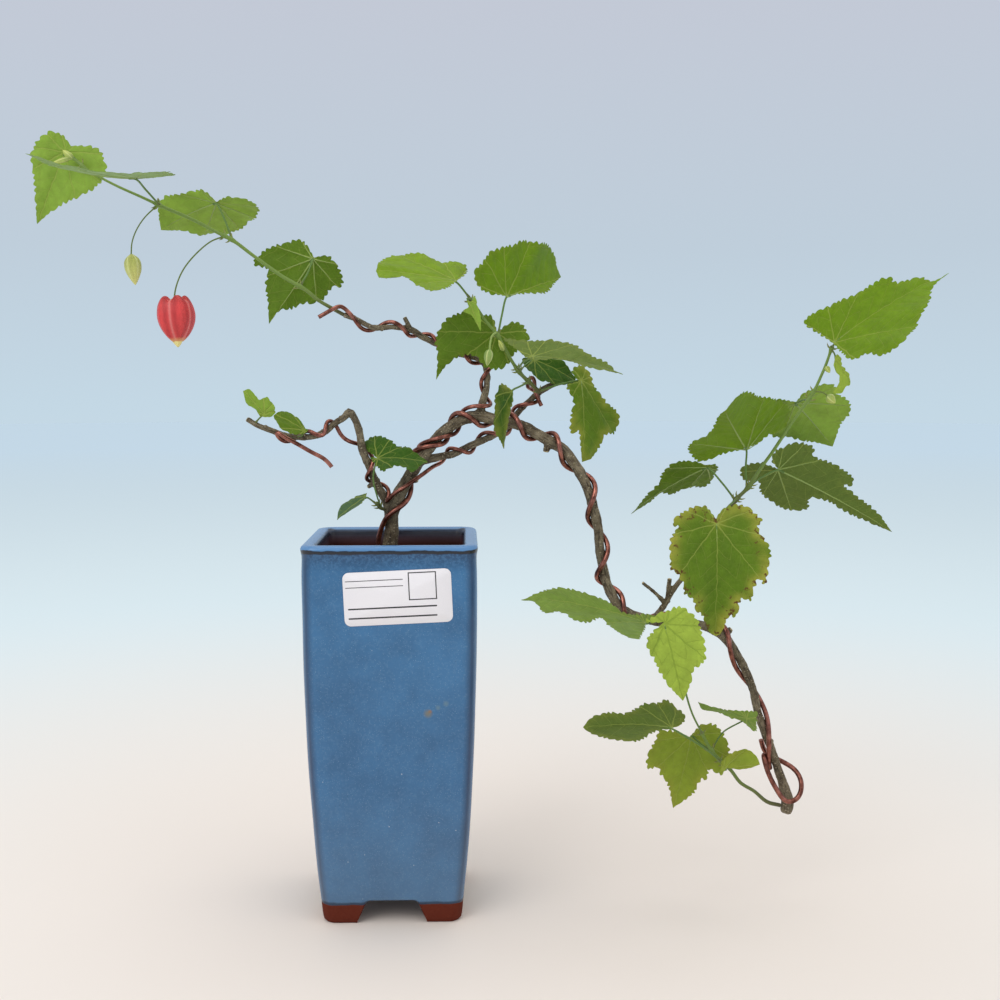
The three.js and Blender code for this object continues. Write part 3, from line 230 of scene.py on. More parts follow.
LEFT_START = [(-27.9, -16, 217.4), (-31.1, -16, 221.3), (-36.8, -16, 224.1), (-44.3, -16.4, 228.6),
              (-50, -16, 231.6)]
BRIDGE = [
    (0.6, -7.6, 203.8), (5.6, -8.6, 206.8), (10.6, -8.4, 210.2), (16, -6.4, 214), (20.4, -1.6, 217),
    (24.2, 3, 218.4), (26.4, 5.2, 222),
]
LOW_CROSSINGS = [(32.6, 3, 224.2), (49.8, 7.6, 231.8), (66, 8.5, 247)]
LOW_END = [
    (72.4, 9.6, 250.2), (70.6, 10.8, 253), (67.2, 8.6, 254.8), (66, 4.4, 255.4), (67.2, 2.6, 260.6),
    (69.4, 1.4, 260.2), (69.4, 1.6, 254.4), (71.6, 2.6, 248.6), (73.4, 3.4, 245.2),
]
UPPER_START = [
    (12.4, 1.6, 221.8), (13.6, -4, 226), (18.8, -9.6, 229.8), (25.6, -10.6, 231.6), (30.2, -6.6, 232.6),
    (33.2, -2, 236.6), (33.4, -2.6, 241.6), (35.6, -7.6, 245), (41.2, -10, 246.4), (46.4, -8.6, 246),
    (48.4, -4.8, 247.2), (45.8, -1.4, 249.6),
]
UPPER_CROSSINGS = [(46, -0.6, 261), (36, 5, 270.8), (22, 6, 276), (5, 2.6, 284), (-18, -1.2, 288.2)]
UPPER_END = [(-23.4, -4, 294.4), (-28, -7.2, 292), (-34.2, -8, 288.4)]

# Greens that the leaves take
GREENS = {
    "shaded": "#38600f", "grown": "#66841e", "dull": "#6c8036", "clear": "#769810", "bright": "#82a314",
    "soft": "#809b40", "young": "#9aba46", "sunlit": "#b0c74c", "turning": "#9aad38", "downy": "#a6c27c",
    "bluish": "#567450",
}
# Each leaf: where its stalk leaves the stem, the points it passes, where the blade is joined to it, the
# blade's tip, the way its upper side faces, how far its halves are folded up and its tip bends down
# (degrees), the green of the side in the photo, how yellow its margin is and how spotted it is.
LEAVES = {
    "leaf_left_1": ((-141, -18, 357), [(-146, -15.6, 361.6)], (-150, -13, 364), (-165, -9, 331),
                    (-0.04, -0.99, -0.1), 8, 12, "young", 0.1, 0),
    "leaf_left_2": ((-107, -14, 339.5), [(-110, -26, 345)], (-111, -42, 348), (-157, -48, 356.5),
                    (0.2, -0.1, 1), 3, -24, "downy", 0.1, 0),
    "leaf_left_3": ((-74.5, -10, 324.5), [(-78, -6, 334)], (-83, 0, 343), (-112.8, 14, 331.7),
                    (0, 0.6, 0.8), 12, 20, "young", 0, 0),
    "leaf_left_4": ((-43, -5.5, 303.5), [(-40, 0, 310)], (-38.1, 6, 317.1), (-59.5, 4, 285.7),
                    (0, 1, 0), 12, 20, "grown", 0, 0),
    "leaf_centre_1": ((37.6, -15.6, 296.8), [], (31.5, -18, 304.8), (-6, -22, 309),
                      (0.14, -0.42, 0.9), 3, 8, "bright", 0.1, 0),
    "leaf_centre_2": ((51, -12, 280), [(53, -12, 289)], (55.5, -12, 297.9), (82, 24, 309),
                      (0.67, -0.62, 0.41), 20, 20, "clear", 0.15, 0.1),
    "leaf_centre_3": ((50.9, -11.8, 280), [(50.8, -7.5, 280.8)], (50.7, -4, 281.2), (21.5, -6, 259.6),
                      (0.08, -0.99, 0.1), 4, 20, "grown", 0.1, 0.1),
    "leaf_centre_4": ((60.3, -8, 263.4), [(63, -17, 267)], (66.9, -27, 269.5), (108, -34, 261),
                      (0.12, -0.42, 0.9), 12, 20, "dull", 0.15, 0.1),
    "leaf_centre_5": ((61.5, -7, 262), [(65.1, -2, 266.2)], (69.2, 3, 268.6), (90, 8, 257.6),
                      (0.43, -0.77, 0.47), 12, 20, "shaded", 0, 0),
    "leaf_centre_6": ((71.4, 0.2, 253.2), [(78, -3, 255.6), (85, -3, 257.4)], (91.9, -2, 258.2), (92.2, -6, 219),
                      (0.48, -0.87, 0.09), -10, 20, "grown", 0.6, 0.6),
    "leaf_centre_7": ((66, -4, 257.6), [(61.7, -13, 255.6)], (57.8, -22, 253.4), (53.8, -22, 226),
                      (0.62, -0.78, -0.09), 12, 20, "shaded", 0.6, 0.3),
    "leaf_centre_young": ((38.6, -15.2, 296), [], (36.7, -19, 296.9), (42.3, -21, 281.5),
                          (0.3, -0.95, 0.1), 10, 10, "young", 0, 0),
    "leaf_inner_1": ((-5.6, -6.6, 197.2), [(-6.6, -14.4, 203), (-8.3, -16.4, 212)], (-6.2, -17, 221.6),
                     (17.7, -23, 219.6), (-0.1, -0.58, 0.81), 8, 20, "shaded", 0, 0),
    "leaf_inner_2": ((-7.4, -8.2, 199.4), [], (-12, -9.4, 202.6), (-26, -14, 192),
                     (-0.38, -0.55, 0.74), 12, 20, "bluish", 0, 0),
    "leaf_inner_3": ((-64.6, -12, 237.8), [(-62, -14.6, 240.6)], (-60, -15, 242.4), (-69, -17, 254.5),
                     (0.23, -0.97, 0), 20, 20, "young", 0, 0),
    "leaf_inner_4": ((-44.6, -12, 231.6), [(-41.6, -16.6, 232.6)], (-41, -18.4, 235), (-54, -22, 242.6),
                     (0.53, -0.55, 0.64), 0, 20, "grown", 0, 0),
    "leaf_right_1": ((211, -14, 274.4), [], (210.6, -20, 276.4), (257, -40, 307),
                     (-0.61, -0.53, 0.59), 12, 20, "clear", 0.1, 0.1),
    "leaf_right_2": ((201, -11, 249), [(200, -5, 249)], (197.9, 2, 247.3), (225.1, 30, 224.5),
                     (-0.16, 0.69, 0.7), 0, 20, "young", 0, 0),
    "leaf_right_3": ((174, -5, 206), [(171.8, -8, 215)], (172.5, -5, 224.8), (151.5, -51, 246),
                     (-0.42, 0.52, 0.74), 12, 20, "clear", 0.1, 0.1),
    "leaf_right_4": ((168, -4, 200), [(162, -1, 208)], (155.6, 6, 215.6), (119.5, 18, 191.1),
                     (-0.27, 0.68, 0.68), 8, 20, "grown", 0.1, 0),
    "leaf_right_5": ((175, -5, 207), [(182, 1, 211)], (191.4, 8, 214.2), (254.7, 22, 180.9),
                     (0.05, 0.9, 0.44), 12, 20, "dull", 0.1, 0),
    "leaf_right_6": ((169, -4, 201), [(161, -16, 197)], (154, -28, 191), (153, -34, 139),
                     (0, -1, 0.1), 12, 20, "grown", 0.9, 1),
    "leaf_right_young": ((210.6, -14, 273), [(211.4, -17, 271)], (211.6, -19, 268.4), (209.9, -21, 251.4),
                         (0.25, -0.97, 0), 15, 20, "sunlit", 0, 0),
    "leaf_low_1": ((125.5, -6.5, 141.5), [(125.5, -17, 142.6)], (121, -27, 143.6), (61.1, -40, 157.1),
                   (0.24, -0.3, 0.92), 12, 20, "soft", 0.1, 0.1),
    "leaf_low_2": ((150.6, -16.2, 87), [(144, -26, 99.4), (139, -36, 112), (133, -43, 132)], (126.6, -49, 146.8),
                   (134.8, -53, 112.3), (-0.08, -0.97, 0.22), 8, 20, "sunlit", 0.1, 0),
    "leaf_low_3": ((160.6, -12, 72), [(152, -20, 80)], (134, -29, 93), (91, -37, 96),
                   (0.1, -0.4, 0.9), 12, 20, "dull", 0.3, 0.2),
    "leaf_low_4": ((156, -13.6, 77.6), [(152, -8, 79)], (148, -3, 81.6), (140, 1, 44),
                   (0, -1, 0), 12, 20, "turning", 0.5, 0.3),
    "leaf_low_5": ((156, -13.6, 77.6), [(162, -12, 86)], (172.8, -14, 93.6), (148.6, -16, 102.3),
                   (0, -0.4, 0.9), 12, 20, "soft", 0.2, 0),
    "leaf_low_6": ((163, -11.2, 69.4), [], (162.1, -16, 68.4), (178.9, -19.6, 71.5),
                   (0.2, -0.65, 0.72), 12, 20, "turning", 0.6, 0.2),
}

# Where each leaf's edge runs in the photo, read in pixels round from the stalk's end
EDGES = {
    "leaf_right_young": [
        (836.9, 354.2), (840.8, 359.2), (841.9, 365.8), (845.4, 369.6), (849.2, 375.4), (849.2, 385),
        (845.4, 386.9),
        (841.9, 392.7), (836.9, 393.8), (832.3, 392.7), (836.9, 386.9), (839.4, 381.2), (839, 375.4),
        (836.2, 371.5), (834, 366.7), (834.4, 360.8)],
    "leaf_centre_young": [
        (475, 296), (476.7, 303.3), (479.3, 311.7), (481, 320), (480.7, 331.7), (477.3, 325), (472.7, 316.7),
        (467.3, 312.7), (462.7, 310.7), (468.3, 307.3), (466.7, 300), (470.7, 301.7)],
    "leaf_left_1": [
        (71, 146), (63, 136), (51, 132), (40, 138), (32, 153), (34, 176), (36, 203), (37, 224), (48, 214),
        (61.5, 204.5), (81, 195), (95, 187), (106, 173), (103, 158), (99, 150), (86, 146)],
    "leaf_left_3": [
        (216.5, 202), (204, 191), (192, 192), (176, 195), (161, 200), (159, 216), (161, 230), (186, 231),
        (212, 233), (227, 233.5), (240.5, 229), (256, 216), (255, 204.5), (240.5, 198), (227, 197.5)],
    "leaf_left_4": [
        (314, 257.5), (307, 246), (299, 240), (287.5, 243), (264.5, 251), (254, 264), (268, 269), (266, 284),
        (268, 300), (269, 324), (280, 310), (289, 309), (304, 303), (313.5, 303), (323, 299), (332, 287),
        (341, 286), (342, 277), (335, 263), (327, 256)],
    "leaf_centre_1": [
        (456.4, 281), (466, 272), (465, 265), (456, 262), (444, 263), (435, 260), (422.5, 254), (405, 255),
        (383, 260), (376, 271), (385, 278), (403, 276), (412, 281), (430, 290.5), (442, 289)],
    "leaf_centre_2": [
        (506, 296), (483, 290), (476, 281), (474, 272), (481, 265), (490, 253), (501, 248), (512, 246),
        (524, 241), (539, 243), (549, 247), (555, 257.5), (557, 268), (561, 277), (553, 284), (546, 292),
        (528, 293), (515, 294)],
    "leaf_centre_3": [
        (497, 333), (492, 317), (483, 315), (462, 313), (447.5, 319), (439.5, 329), (436, 343), (438, 354),
        (436, 380), (444, 368), (456, 357.5), (474, 355), (485, 366), (499, 369), (508, 363), (514.5, 353),
        (528, 341), (526, 331), (519, 323), (508, 324)],
    "leaf_centre_4": [
        (504, 339), (520, 340), (533, 341), (542, 341), (571, 344), (589, 355), (610, 365.5), (623, 374.5),
        (605, 370), (583, 366), (560, 359), (537, 360), (520, 352)],
    "leaf_centre_5": [
        (534, 357), (521.6, 360), (530, 371), (544, 381), (571, 384), (576, 379), (565, 363), (550, 358)],
    "leaf_centre_6": [
        (579, 381), (572, 372), (581, 365.5), (589, 372), (594, 386), (606, 402), (619, 416), (614, 432.5),
        (606, 434), (599, 447), (592, 457.5), (582, 462), (580.5, 443), (579, 431), (571, 432.5), (571, 422),
        (572.5, 409), (574, 400), (567, 386)],
    "leaf_centre_7": [
        (501, 384), (512, 390), (513, 400), (510, 413), (506, 434), (504, 449), (497.5, 436), (494, 425),
        (495, 399)],
    "leaf_inner_1": [
        (377.4, 458.3), (364, 445), (370, 438), (377, 436), (388, 439), (397, 446), (406, 447), (416, 453),
        (428, 462), (420, 466), (413, 472), (404, 467), (394, 466), (384, 471), (378, 467), (371, 457)],
    "leaf_inner_2": [(367, 493), (349, 500.5), (339, 510), (337, 520), (348, 512), (360.5, 504)],
    "leaf_inner_3": [
        (243, 391), (249, 389), (255, 395), (260, 400), (266, 397), (272.5, 404), (275, 412.5), (269.5, 417),
        (260, 416.5), (255, 409), (247, 404)],
    "leaf_inner_4": [
        (273.5, 415.5), (280, 411.5), (289, 412.5), (299, 419), (305, 428), (308, 430), (304, 434), (293, 434),
        (283, 430), (277, 422)],
    "leaf_low_2": [
        (664, 622), (647, 622), (655, 616), (671, 610), (679, 607), (694, 616), (702, 635), (705, 659),
        (694, 669), (690, 684), (683, 701), (667, 683), (655, 661), (647, 641)],
    "leaf_right_6": [
        (716, 519), (705, 506.5), (690, 509), (676, 518), (673, 524), (678, 527), (673, 535), (670, 546),
        (671, 558), (671, 568), (679, 575), (683.5, 585), (685.5, 594), (693, 599), (697, 611), (702, 614),
        (706, 625), (711, 634), (716, 636), (721, 633), (729, 616), (735.5, 616), (739, 603.5), (742, 598),
        (750, 600), (754, 588), (758, 578), (765, 584), (767, 572), (769, 562), (770, 551), (762, 536),
        (757, 527), (761.5, 521), (755, 514), (744, 506), (731, 506), (721, 511)],
    "leaf_right_1": [
        (833.6, 343.5), (822, 335), (805, 323), (811, 315), (828, 307), (848, 298), (867, 288), (878, 281),
        (891, 277), (893, 282), (919, 278), (934, 281), (949, 273), (932, 288), (928, 303), (919, 318.5),
        (904, 340), (887, 353), (878, 355), (867, 353), (853, 359), (841, 351)],
    "leaf_right_2": [
        (796, 402), (806, 392), (832.5, 385), (837, 394), (848, 401), (850, 410), (841, 423), (832.5, 446.5),
        (815, 442), (793.5, 438), (770, 433.5), (776, 401)],
    "leaf_right_3": [
        (757, 444), (749, 446.5), (724, 453), (700, 461), (689, 449), (692, 443), (713, 429), (723, 412),
        (735, 399), (748, 392), (759, 397), (772, 399), (789, 410), (788, 420.5), (780.5, 431), (770, 433.5)],
    "leaf_right_4": [
        (705, 465), (696, 462), (672, 464), (661, 477), (660, 483), (648, 494), (631, 514), (648, 503),
        (661, 493), (672, 494), (687, 488), (702, 487), (711, 481), (716.5, 465)],
    "leaf_right_5": [
        (778, 469), (772, 459.5), (776, 451), (791, 444), (804, 444), (814, 449), (813, 456), (828, 462),
        (843, 470), (853, 479), (852, 485.5), (841, 483), (856, 496), (876, 511.5), (892, 532), (869, 522),
        (845.5, 511.5), (832.5, 503), (819.5, 498.5), (809, 498.5), (806.5, 509), (787, 509), (774, 503),
        (761, 492), (759, 481), (748, 481), (741, 475), (744, 466), (759, 463)],
    "leaf_low_1": [
        (645.6, 623), (641, 634), (635.5, 639), (622, 634), (608, 624.5), (602, 618), (585.5, 622), (571, 618),
        (559, 611), (547, 613), (534.5, 602), (521, 600), (541, 592), (559, 588), (588, 594), (608, 602),
        (624, 613), (653, 615), (655, 620)],
    "leaf_low_3": [
        (685, 718), (679, 726), (659.5, 730), (653, 732), (635, 741), (618, 740), (598, 736), (583, 727),
        (591.5, 718), (611, 713), (625, 714), (641, 706), (659.5, 703), (666, 700), (676, 708)],
    "leaf_low_4": [
        (690, 737), (676, 732), (659.5, 731), (656, 740), (648, 756), (648, 768), (658, 767), (661, 774),
        (668, 784), (673, 808), (683, 801), (693, 793), (701, 779), (706, 779), (709, 769), (721, 774),
        (726, 766), (729, 753), (726, 740), (716, 726), (706, 724), (698, 728)],
    "leaf_low_5": [
        (757, 713), (754, 731), (742, 721), (727, 716), (704, 710), (698, 702), (709, 706), (726, 710),
        (739, 711)],
    "leaf_low_6": [
        (721, 773), (722.5, 761), (734, 752), (747, 749.5), (756, 756), (760, 764.5), (744, 769),
        (727.5, 768)],
}
# Reach from the stalk's end as a share of the leaf's length, by the angle from the tip in degrees
PLAIN_EDGE = [
    (0, 1), (5, 0.91), (10, 0.82), (17, 0.74), (26, 0.68), (40, 0.64), (55, 0.58), (72, 0.51), (90, 0.44),
    (108, 0.37), (126, 0.31), (143, 0.24), (160, 0.16), (180, 0.05),
]
PLAIN_WIDTHS = {"leaf_left_2": (0.75, 0.75, 1.8)}

LANTERN_TOP = (-100.1, -19, 296)
LANTERN_TURN = math.radians(4)
# Radius and height of the calyx under its stalk's end
LANTERN_PROFILE = [
    (0.7, 0.5), (2.4, -0.2), (4.4, 0.7), (6, 0.4), (7.4, -0.9), (8.8, -4.2), (9.3, -8), (8.5, -12), (6.3, -16),
    (3.9, -18.6), (2.6, -19.6),
]
# Radius and height of the petals' tip below it
PETALS = [(1.8, -17.8), (2.3, -18.8), (1.9, -19.9), (1.3, -20.9), (0.7, -21.7), (0.2, -22.2)]
FLOWER_RIBS = 5
# Top and tip of the two hanging buds
YELLOW_BUD = ((-120.4, -14, 316.8), (-118.9, -14, 303))
CENTRE_BUD = ((47, -18.5, 272.8), (45.9, -18.6, 265.2))
# Top, tip and radius of the small buds on the shoots
SMALL_BUDS = {
    "shoot_left": [((-145, -18.2, 360), (-149.4, -18.6, 364), 1.6),
                   ((-146, -18.5, 360.4), (-154.4, -19.4, 357.8), 1.2)],
    "shoot_centre": [((54, -10.6, 272.6), (51.4, -13.8, 277.6), 1.3)],
    "shoot_right": [((209, -15.2, 251.2), (212.6, -16.2, 247.6), 2.3),
                    ((208.6, -13.4, 265), (209.6, -16, 262), 1.4)],
}
# Share of a closed bud's length, and its width there as a share of the widest
POD_SHARES = [-0.03, 0, 0.05, 0.12, 0.22, 0.34, 0.46, 0.58, 0.7, 0.8, 0.88, 0.94, 0.98, 1.0]
POD_WIDTHS = [0.16, 0.3, 0.55, 0.78, 0.95, 1, 0.97, 0.86, 0.68, 0.5, 0.34, 0.2, 0.1, 0.04]

# Leaf blades: the angle between main veins, the step and slant of the side veins, and the thickness
SECTOR = math.radians(37)
RIB_STEP = 6
RIB_SLANT = 0.9
BLADE_THICK = 0.34
# Length over which the teeth grow from a leaf's tip and die down at its stalk, and the front of a tooth
TIP_FADE = 12
STALK_FADE = 8
TOOTH_FRONT = 0.3
# Air between a wire and what it winds round
WIRE_ROOM = 0.28
# Limbs that end in a cut, by their place in limb_routes: the left branch and the stubs
CUT_LIMBS = (1, *range(5, 5 + len(STUBS)))

# Colour of the studio surroundings by the height they are seen at (sine of the angle above eye level)
SKY = [(-1, "#f0e6dc"), (-0.02, "#c4d8e5"), (0.1, "#bfcedb"), (0.28, "#c3c9d6"), (0.6, "#e2e1e0"), (1, "#ffffff")]
# Studio: radii of the floor's rings in metres; place, size and power of each light
FLOOR_RINGS = [0.02, 0.1, 0.25, 0.5, 1, 2, 4, 8]
FLOOR_SIDES = 48
LIGHTS = {
    "key": ((-0.9, -1.1, 1.25), 1.1, 9), "fill": ((1.2, -0.9, 0.7), 1.2, 2), "top": ((0.1, 0.2, 1.7), 1.3, 5),
}
LIGHTS_AIM = (40, -5, 190)


# ---------------------------------------------------------------- paths and surfaces

def placed(points):
    """Points in metres in the frame's own place."""
    return np.asarray(points, float) * MM + ORIGIN


def seen(points):
    """Where points fall in the photo, in pixels."""
    ahead = np.array([-math.sin(YAW) * math.cos(PITCH), math.cos(YAW) * math.cos(PITCH), math.sin(PITCH)])
    right = np.array([math.cos(YAW), math.sin(YAW), 0])
    rays = points - EYE
    depth = rays @ ahead
    half = PHOTO_PX / 2
    return np.stack([half + FOCAL_PX * (rays @ right) / depth,
                     half - FOCAL_PX * (rays @ np.cross(right, ahead)) / depth], -1)


def unit(rows):
    rows = np.asarray(rows, float)
    return rows / np.maximum(np.linalg.norm(rows, axis=-1, keepdims=True), 1e-9)


def evenly(rows, step):
    """Rows along a line at even steps of length."""
    ends = np.concatenate([[0], np.cumsum(np.linalg.norm(np.diff(rows[:, :3], axis=0), axis=1))])
    at = np.linspace(0, ends[-1], max(2, round(ends[-1] / step)) + 1)
    return np.stack([np.interp(at, ends, column) for column in rows.T], -1)


def smooth_line(rows, step, closed=False):
    """Centripetal curve through rows whose first columns are a place, at even steps."""
    rows = np.asarray(rows, float)
    if closed:
        padded = np.vstack([rows[-1:], rows, rows[:2]])
    else:
        padded = np.vstack([2 * rows[:1] - rows[1:2], rows, 2 * rows[-1:] - rows[-2:-1]])
    gaps = np.maximum(np.linalg.norm(np.diff(padded[:, :3], axis=0), axis=1) ** 0.5, 1e-3)
    t = np.linspace(0, 1, 16, endpoint=False)[:, None]
    fine = []
    for k in range(1, len(padded) - 2):
        a, b, c, d = padded[k - 1:k + 3]
        g0, g1, g2 = gaps[k - 1:k + 2]
        out = ((b - a) / g0 - (c - a) / (g0 + g1) + (c - b) / g1) * g1
        into = ((c - b) / g1 - (d - b) / (g1 + g2) + (d - c) / g2) * g1
        fine.append((2 * t**3 - 3 * t**2 + 1) * b + (t**3 - 2 * t**2 + t) * out
                    + (3 * t**2 - 2 * t**3) * c + (t**3 - t**2) * into)
    return evenly(np.vstack(fine + [padded[-2:-1]]), step)


def lengths(points):
    return np.concatenate([[0], np.cumsum(np.linalg.norm(np.diff(points[:, :3], axis=0), axis=1))])


def nearest(line, points):
    """For each point, the place on a line of x, y, z, radius rows that is nearest to it."""
    start, run = line[:-1, :3], np.diff(line[:, :3], axis=0)
    along = lengths(line)
    gap = points[:, None] - start[None]
    share = np.clip((gap * run).sum(-1) / (run * run).sum(-1), 0, 1)
    miss = gap - share[..., None] * run
    k = (miss**2).sum(-1).argmin(1)
    rows = np.arange(len(points))
    t = share[rows, k]
    return {
        "distance": np.linalg.norm(miss[rows, k], axis=1),
        "at": start[k] + t[:, None] * run[k],
        "radius": line[k, 3] + t * (line[k + 1, 3] - line[k, 3]),
        "along": along[k] + t * (along[k + 1] - along[k]),
        "axis": unit(run[k]),
        "t": t,
    }


def wound(limb, crossings, wire, hand, before, after):
    """Helix round a limb that crosses its front at the crossings."""
    marks = nearest(limb, np.array(crossings, float))["along"]
    last = len(marks) - 1
    turns = np.concatenate([[-before], np.arange(last + 1), [last + after]])
    arcs = np.concatenate([[marks[0] - before * (marks[1] - marks[0])], marks,
                           [marks[last] + after * (marks[last] - marks[last - 1])]])
    turn = np.linspace(-before, last + after, round((before + last + after) * 22) + 1)
    arc = np.interp(turn, turns, arcs)
    along = lengths(limb)
    spots = np.stack([np.interp(arc, along, column) for column in limb.T], -1)
    k = np.clip(np.searchsorted(along, arc), 2, len(along) - 3)
    axis = unit(limb[k + 2, :3] - limb[k - 2, :3])
    front = unit(np.array([0, -1, 0]) + axis * axis[:, 1:2])
    side = np.cross(axis, front)
    angle = (hand * turn * 2 * math.pi)[:, None]
    reach = (spots[:, 3] + wire + WIRE_ROOM)[:, None]
    return spots[:, :3] + front * reach * np.cos(angle) + side * reach * np.sin(angle)


def laid(points, wire, others):
    """Wire through points, pushed clear of the stems and of the wires before it."""
    spots = smooth_line(np.vstack(points), 1.1)
    for sweep in range(8):
        for other in others:
            near = nearest(other, spots)
            need = near["radius"] + wire + WIRE_ROOM
            inside = near["distance"] < need
            out = unit(spots - near["at"])
            spots[inside] = (near["at"] + out * need[:, None])[inside]
        if sweep < 7:
            spots[1:-1] += 0.3 * (spots[:-2] + spots[2:] - 2 * spots[1:-1])
    return np.column_stack([spots, np.full(len(spots), wire)])


def beside(stems, near, towards):
    """The point inside a stem's skin from which a stalk leaves it towards another point."""
    near, towards = np.array([near], float), np.array(towards, float)
    found = min((nearest(stem, near) for stem in stems), key=lambda spot: spot["distance"][0])
    at, axis = found["at"][0], found["axis"][0]
    way = unit(towards - at)
    lean = way @ axis
    return at + unit(way - axis * lean) * found["radius"][0] * 0.55


# ---------------------------------------------------------------- nodes and meshes

def linear(code):
    """Linear colour of an sRGB hex code."""
    parts = [int(code[k:k + 2], 16) / 255 for k in (1, 3, 5)]
    return tuple(c / 12.92 if c <= 0.04045 else ((c + 0.055) / 1.055) ** 2.4 for c in parts) + (1,)


def put(tree, kind, inputs=(), **settings):
    """Adds a node, a shader node where its kind doesn't say Node. An input given as a socket is linked
    to it, and one given as a node to that node's first output."""
    node = tree.nodes.new(kind if "Node" in kind else "ShaderNode" + kind)
    for key, value in settings.items():
        setattr(node, key, value)
    for key, value in dict(inputs).items():
        socket = node.inputs[key]
        value = value.outputs[0] if isinstance(value, bpy.types.Node) else value
        if isinstance(value, bpy.types.NodeSocket):
            tree.links.new(value, socket)
        else:
            socket.default_value = value
    return node


def geometry_tree(name, *inputs):
    """An empty Geometry Nodes tree with named inputs, and its input node."""
    tree = bpy.data.node_groups.new(name, "GeometryNodeTree")
    tree.interface.new_socket("Geometry", in_out="INPUT", socket_type="NodeSocketGeometry")
    for label, kind in inputs:
        tree.interface.new_socket(label, in_out="INPUT", socket_type=kind)
    tree.interface.new_socket("Geometry", in_out="OUTPUT", socket_type="NodeSocketGeometry")
    return tree, tree.nodes.new("NodeGroupInput")


def close_tree(tree, shape, material):
    """Ends a Geometry Nodes tree in plain geometry with its material."""
    plain = put(tree, "GeometryNodeRealizeInstances", {"Geometry": shape})
    coated = put(tree, "GeometryNodeSetMaterial", {"Geometry": plain, "Material": material})
    put(tree, "NodeGroupOutput", {"Geometry": coated})
    return tree


def sweep_tree():
    """Round bars along the edges of a mesh, as thick as its attribute says."""
    tree, start = geometry_tree("bars_along_paths", ("Sides", "NodeSocketInt"), ("Material", "NodeSocketMaterial"))
    thick = put(tree, "GeometryNodeInputNamedAttribute", {"Name": "thick"}, data_type="FLOAT")
    path = put(tree, "GeometryNodeMeshToCurve", {"Mesh": start.outputs["Geometry"]})
    length = put(tree, "GeometryNodeSplineParameter")
    marked = put(tree, "GeometryNodeStoreNamedAttribute", {
        "Geometry": path, "Name": "along", "Value": length.outputs["Length"]})
    ring = put(tree, "GeometryNodeCurvePrimitiveCircle", {"Resolution": start.outputs["Sides"], "Radius": 1})
    bars = put(tree, "GeometryNodeCurveToMesh", {
        "Curve": marked, "Profile Curve": ring, "Scale": thick, "Fill Caps": True})
    soft = put(tree, "GeometryNodeSetShadeSmooth", {"Geometry": bars})
    return close_tree(tree, soft, start.outputs["Material"])


def crumbs_tree():
    """Crumbs strewn over the faces that look upwards."""
    tree, start = geometry_tree("crumbs_on_faces", ("Seed", "NodeSocketInt"), ("Density", "NodeSocketFloat"),
                                ("Size", "NodeSocketFloat"), ("Material", "NodeSocketMaterial"))
    facing = put(tree, "SeparateXYZ", {0: put(tree, "GeometryNodeInputNormal")}).outputs[2]
    upward = put(tree, "Math", {0: facing, 1: 0.3}, operation="GREATER_THAN")
    spots = put(tree, "GeometryNodeDistributePointsOnFaces", {
        "Mesh": start.outputs["Geometry"], "Selection": upward, "Density": start.outputs["Density"],
        "Seed": start.outputs["Seed"]})
    crumb = put(tree, "GeometryNodeMeshIcoSphere", {"Radius": 1, "Subdivisions": 2})
    rough = put(tree, "TexNoise", {"Scale": 0.9, "Detail": 2}, noise_dimensions="3D")
    away = put(tree, "VectorMath", {0: rough.outputs["Color"], 1: (0.5, 0.5, 0.5)}, operation="SUBTRACT")
    lumpy = put(tree, "GeometryNodeSetPosition", {"Geometry": crumb, "Offset": away})
    turn = put(tree, "FunctionNodeRandomValue", {0: (0, 0, 0), 1: (6.28, 6.28, 6.28)}, data_type="FLOAT_VECTOR")
    spread = put(tree, "FunctionNodeRandomValue", {2: 0.45, 3: 1.15, "Seed": 4}, data_type="FLOAT")
    size = put(tree, "Math", {0: spread.outputs[1], 1: start.outputs["Size"]}, operation="MULTIPLY")
    strewn = put(tree, "GeometryNodeInstanceOnPoints", {
        "Points": spots, "Instance": lumpy, "Rotation": turn,
        "Scale": size})
    both = put(tree, "GeometryNodeJoinGeometry")
    tree.links.new(start.outputs["Geometry"], both.inputs[0])
    tree.links.new(strewn.outputs[0], both.inputs[0])
    soft = put(tree, "GeometryNodeSetShadeSmooth", {"Geometry": both})
    return close_tree(tree, soft, start.outputs["Material"])


def grown(mesh, tree=None, inputs=(), remesh=0):
    """The plain mesh that a node tree, or a remesh, makes of another mesh."""
    holder = bpy.data.objects.new("holder", mesh)
    bpy.context.scene.collection.objects.link(holder)
    if tree:
        modifier = holder.modifiers.new("grow", "NODES")
        modifier.node_group = tree
        for item in tree.interface.items_tree:
            if item.in_out == "INPUT" and item.name in dict(inputs):
                modifier[item.identifier] = dict(inputs)[item.name]
    if remesh:
        modifier = holder.modifiers.new("remesh", "REMESH")
        modifier.mode = "VOXEL"
        modifier.voxel_size = remesh
        modifier.use_smooth_shade = True
    graph = bpy.context.evaluated_depsgraph_get()
    result = bpy.data.meshes.new_from_object(holder.evaluated_get(graph), depsgraph=graph)
    bpy.data.objects.remove(holder)
    return result


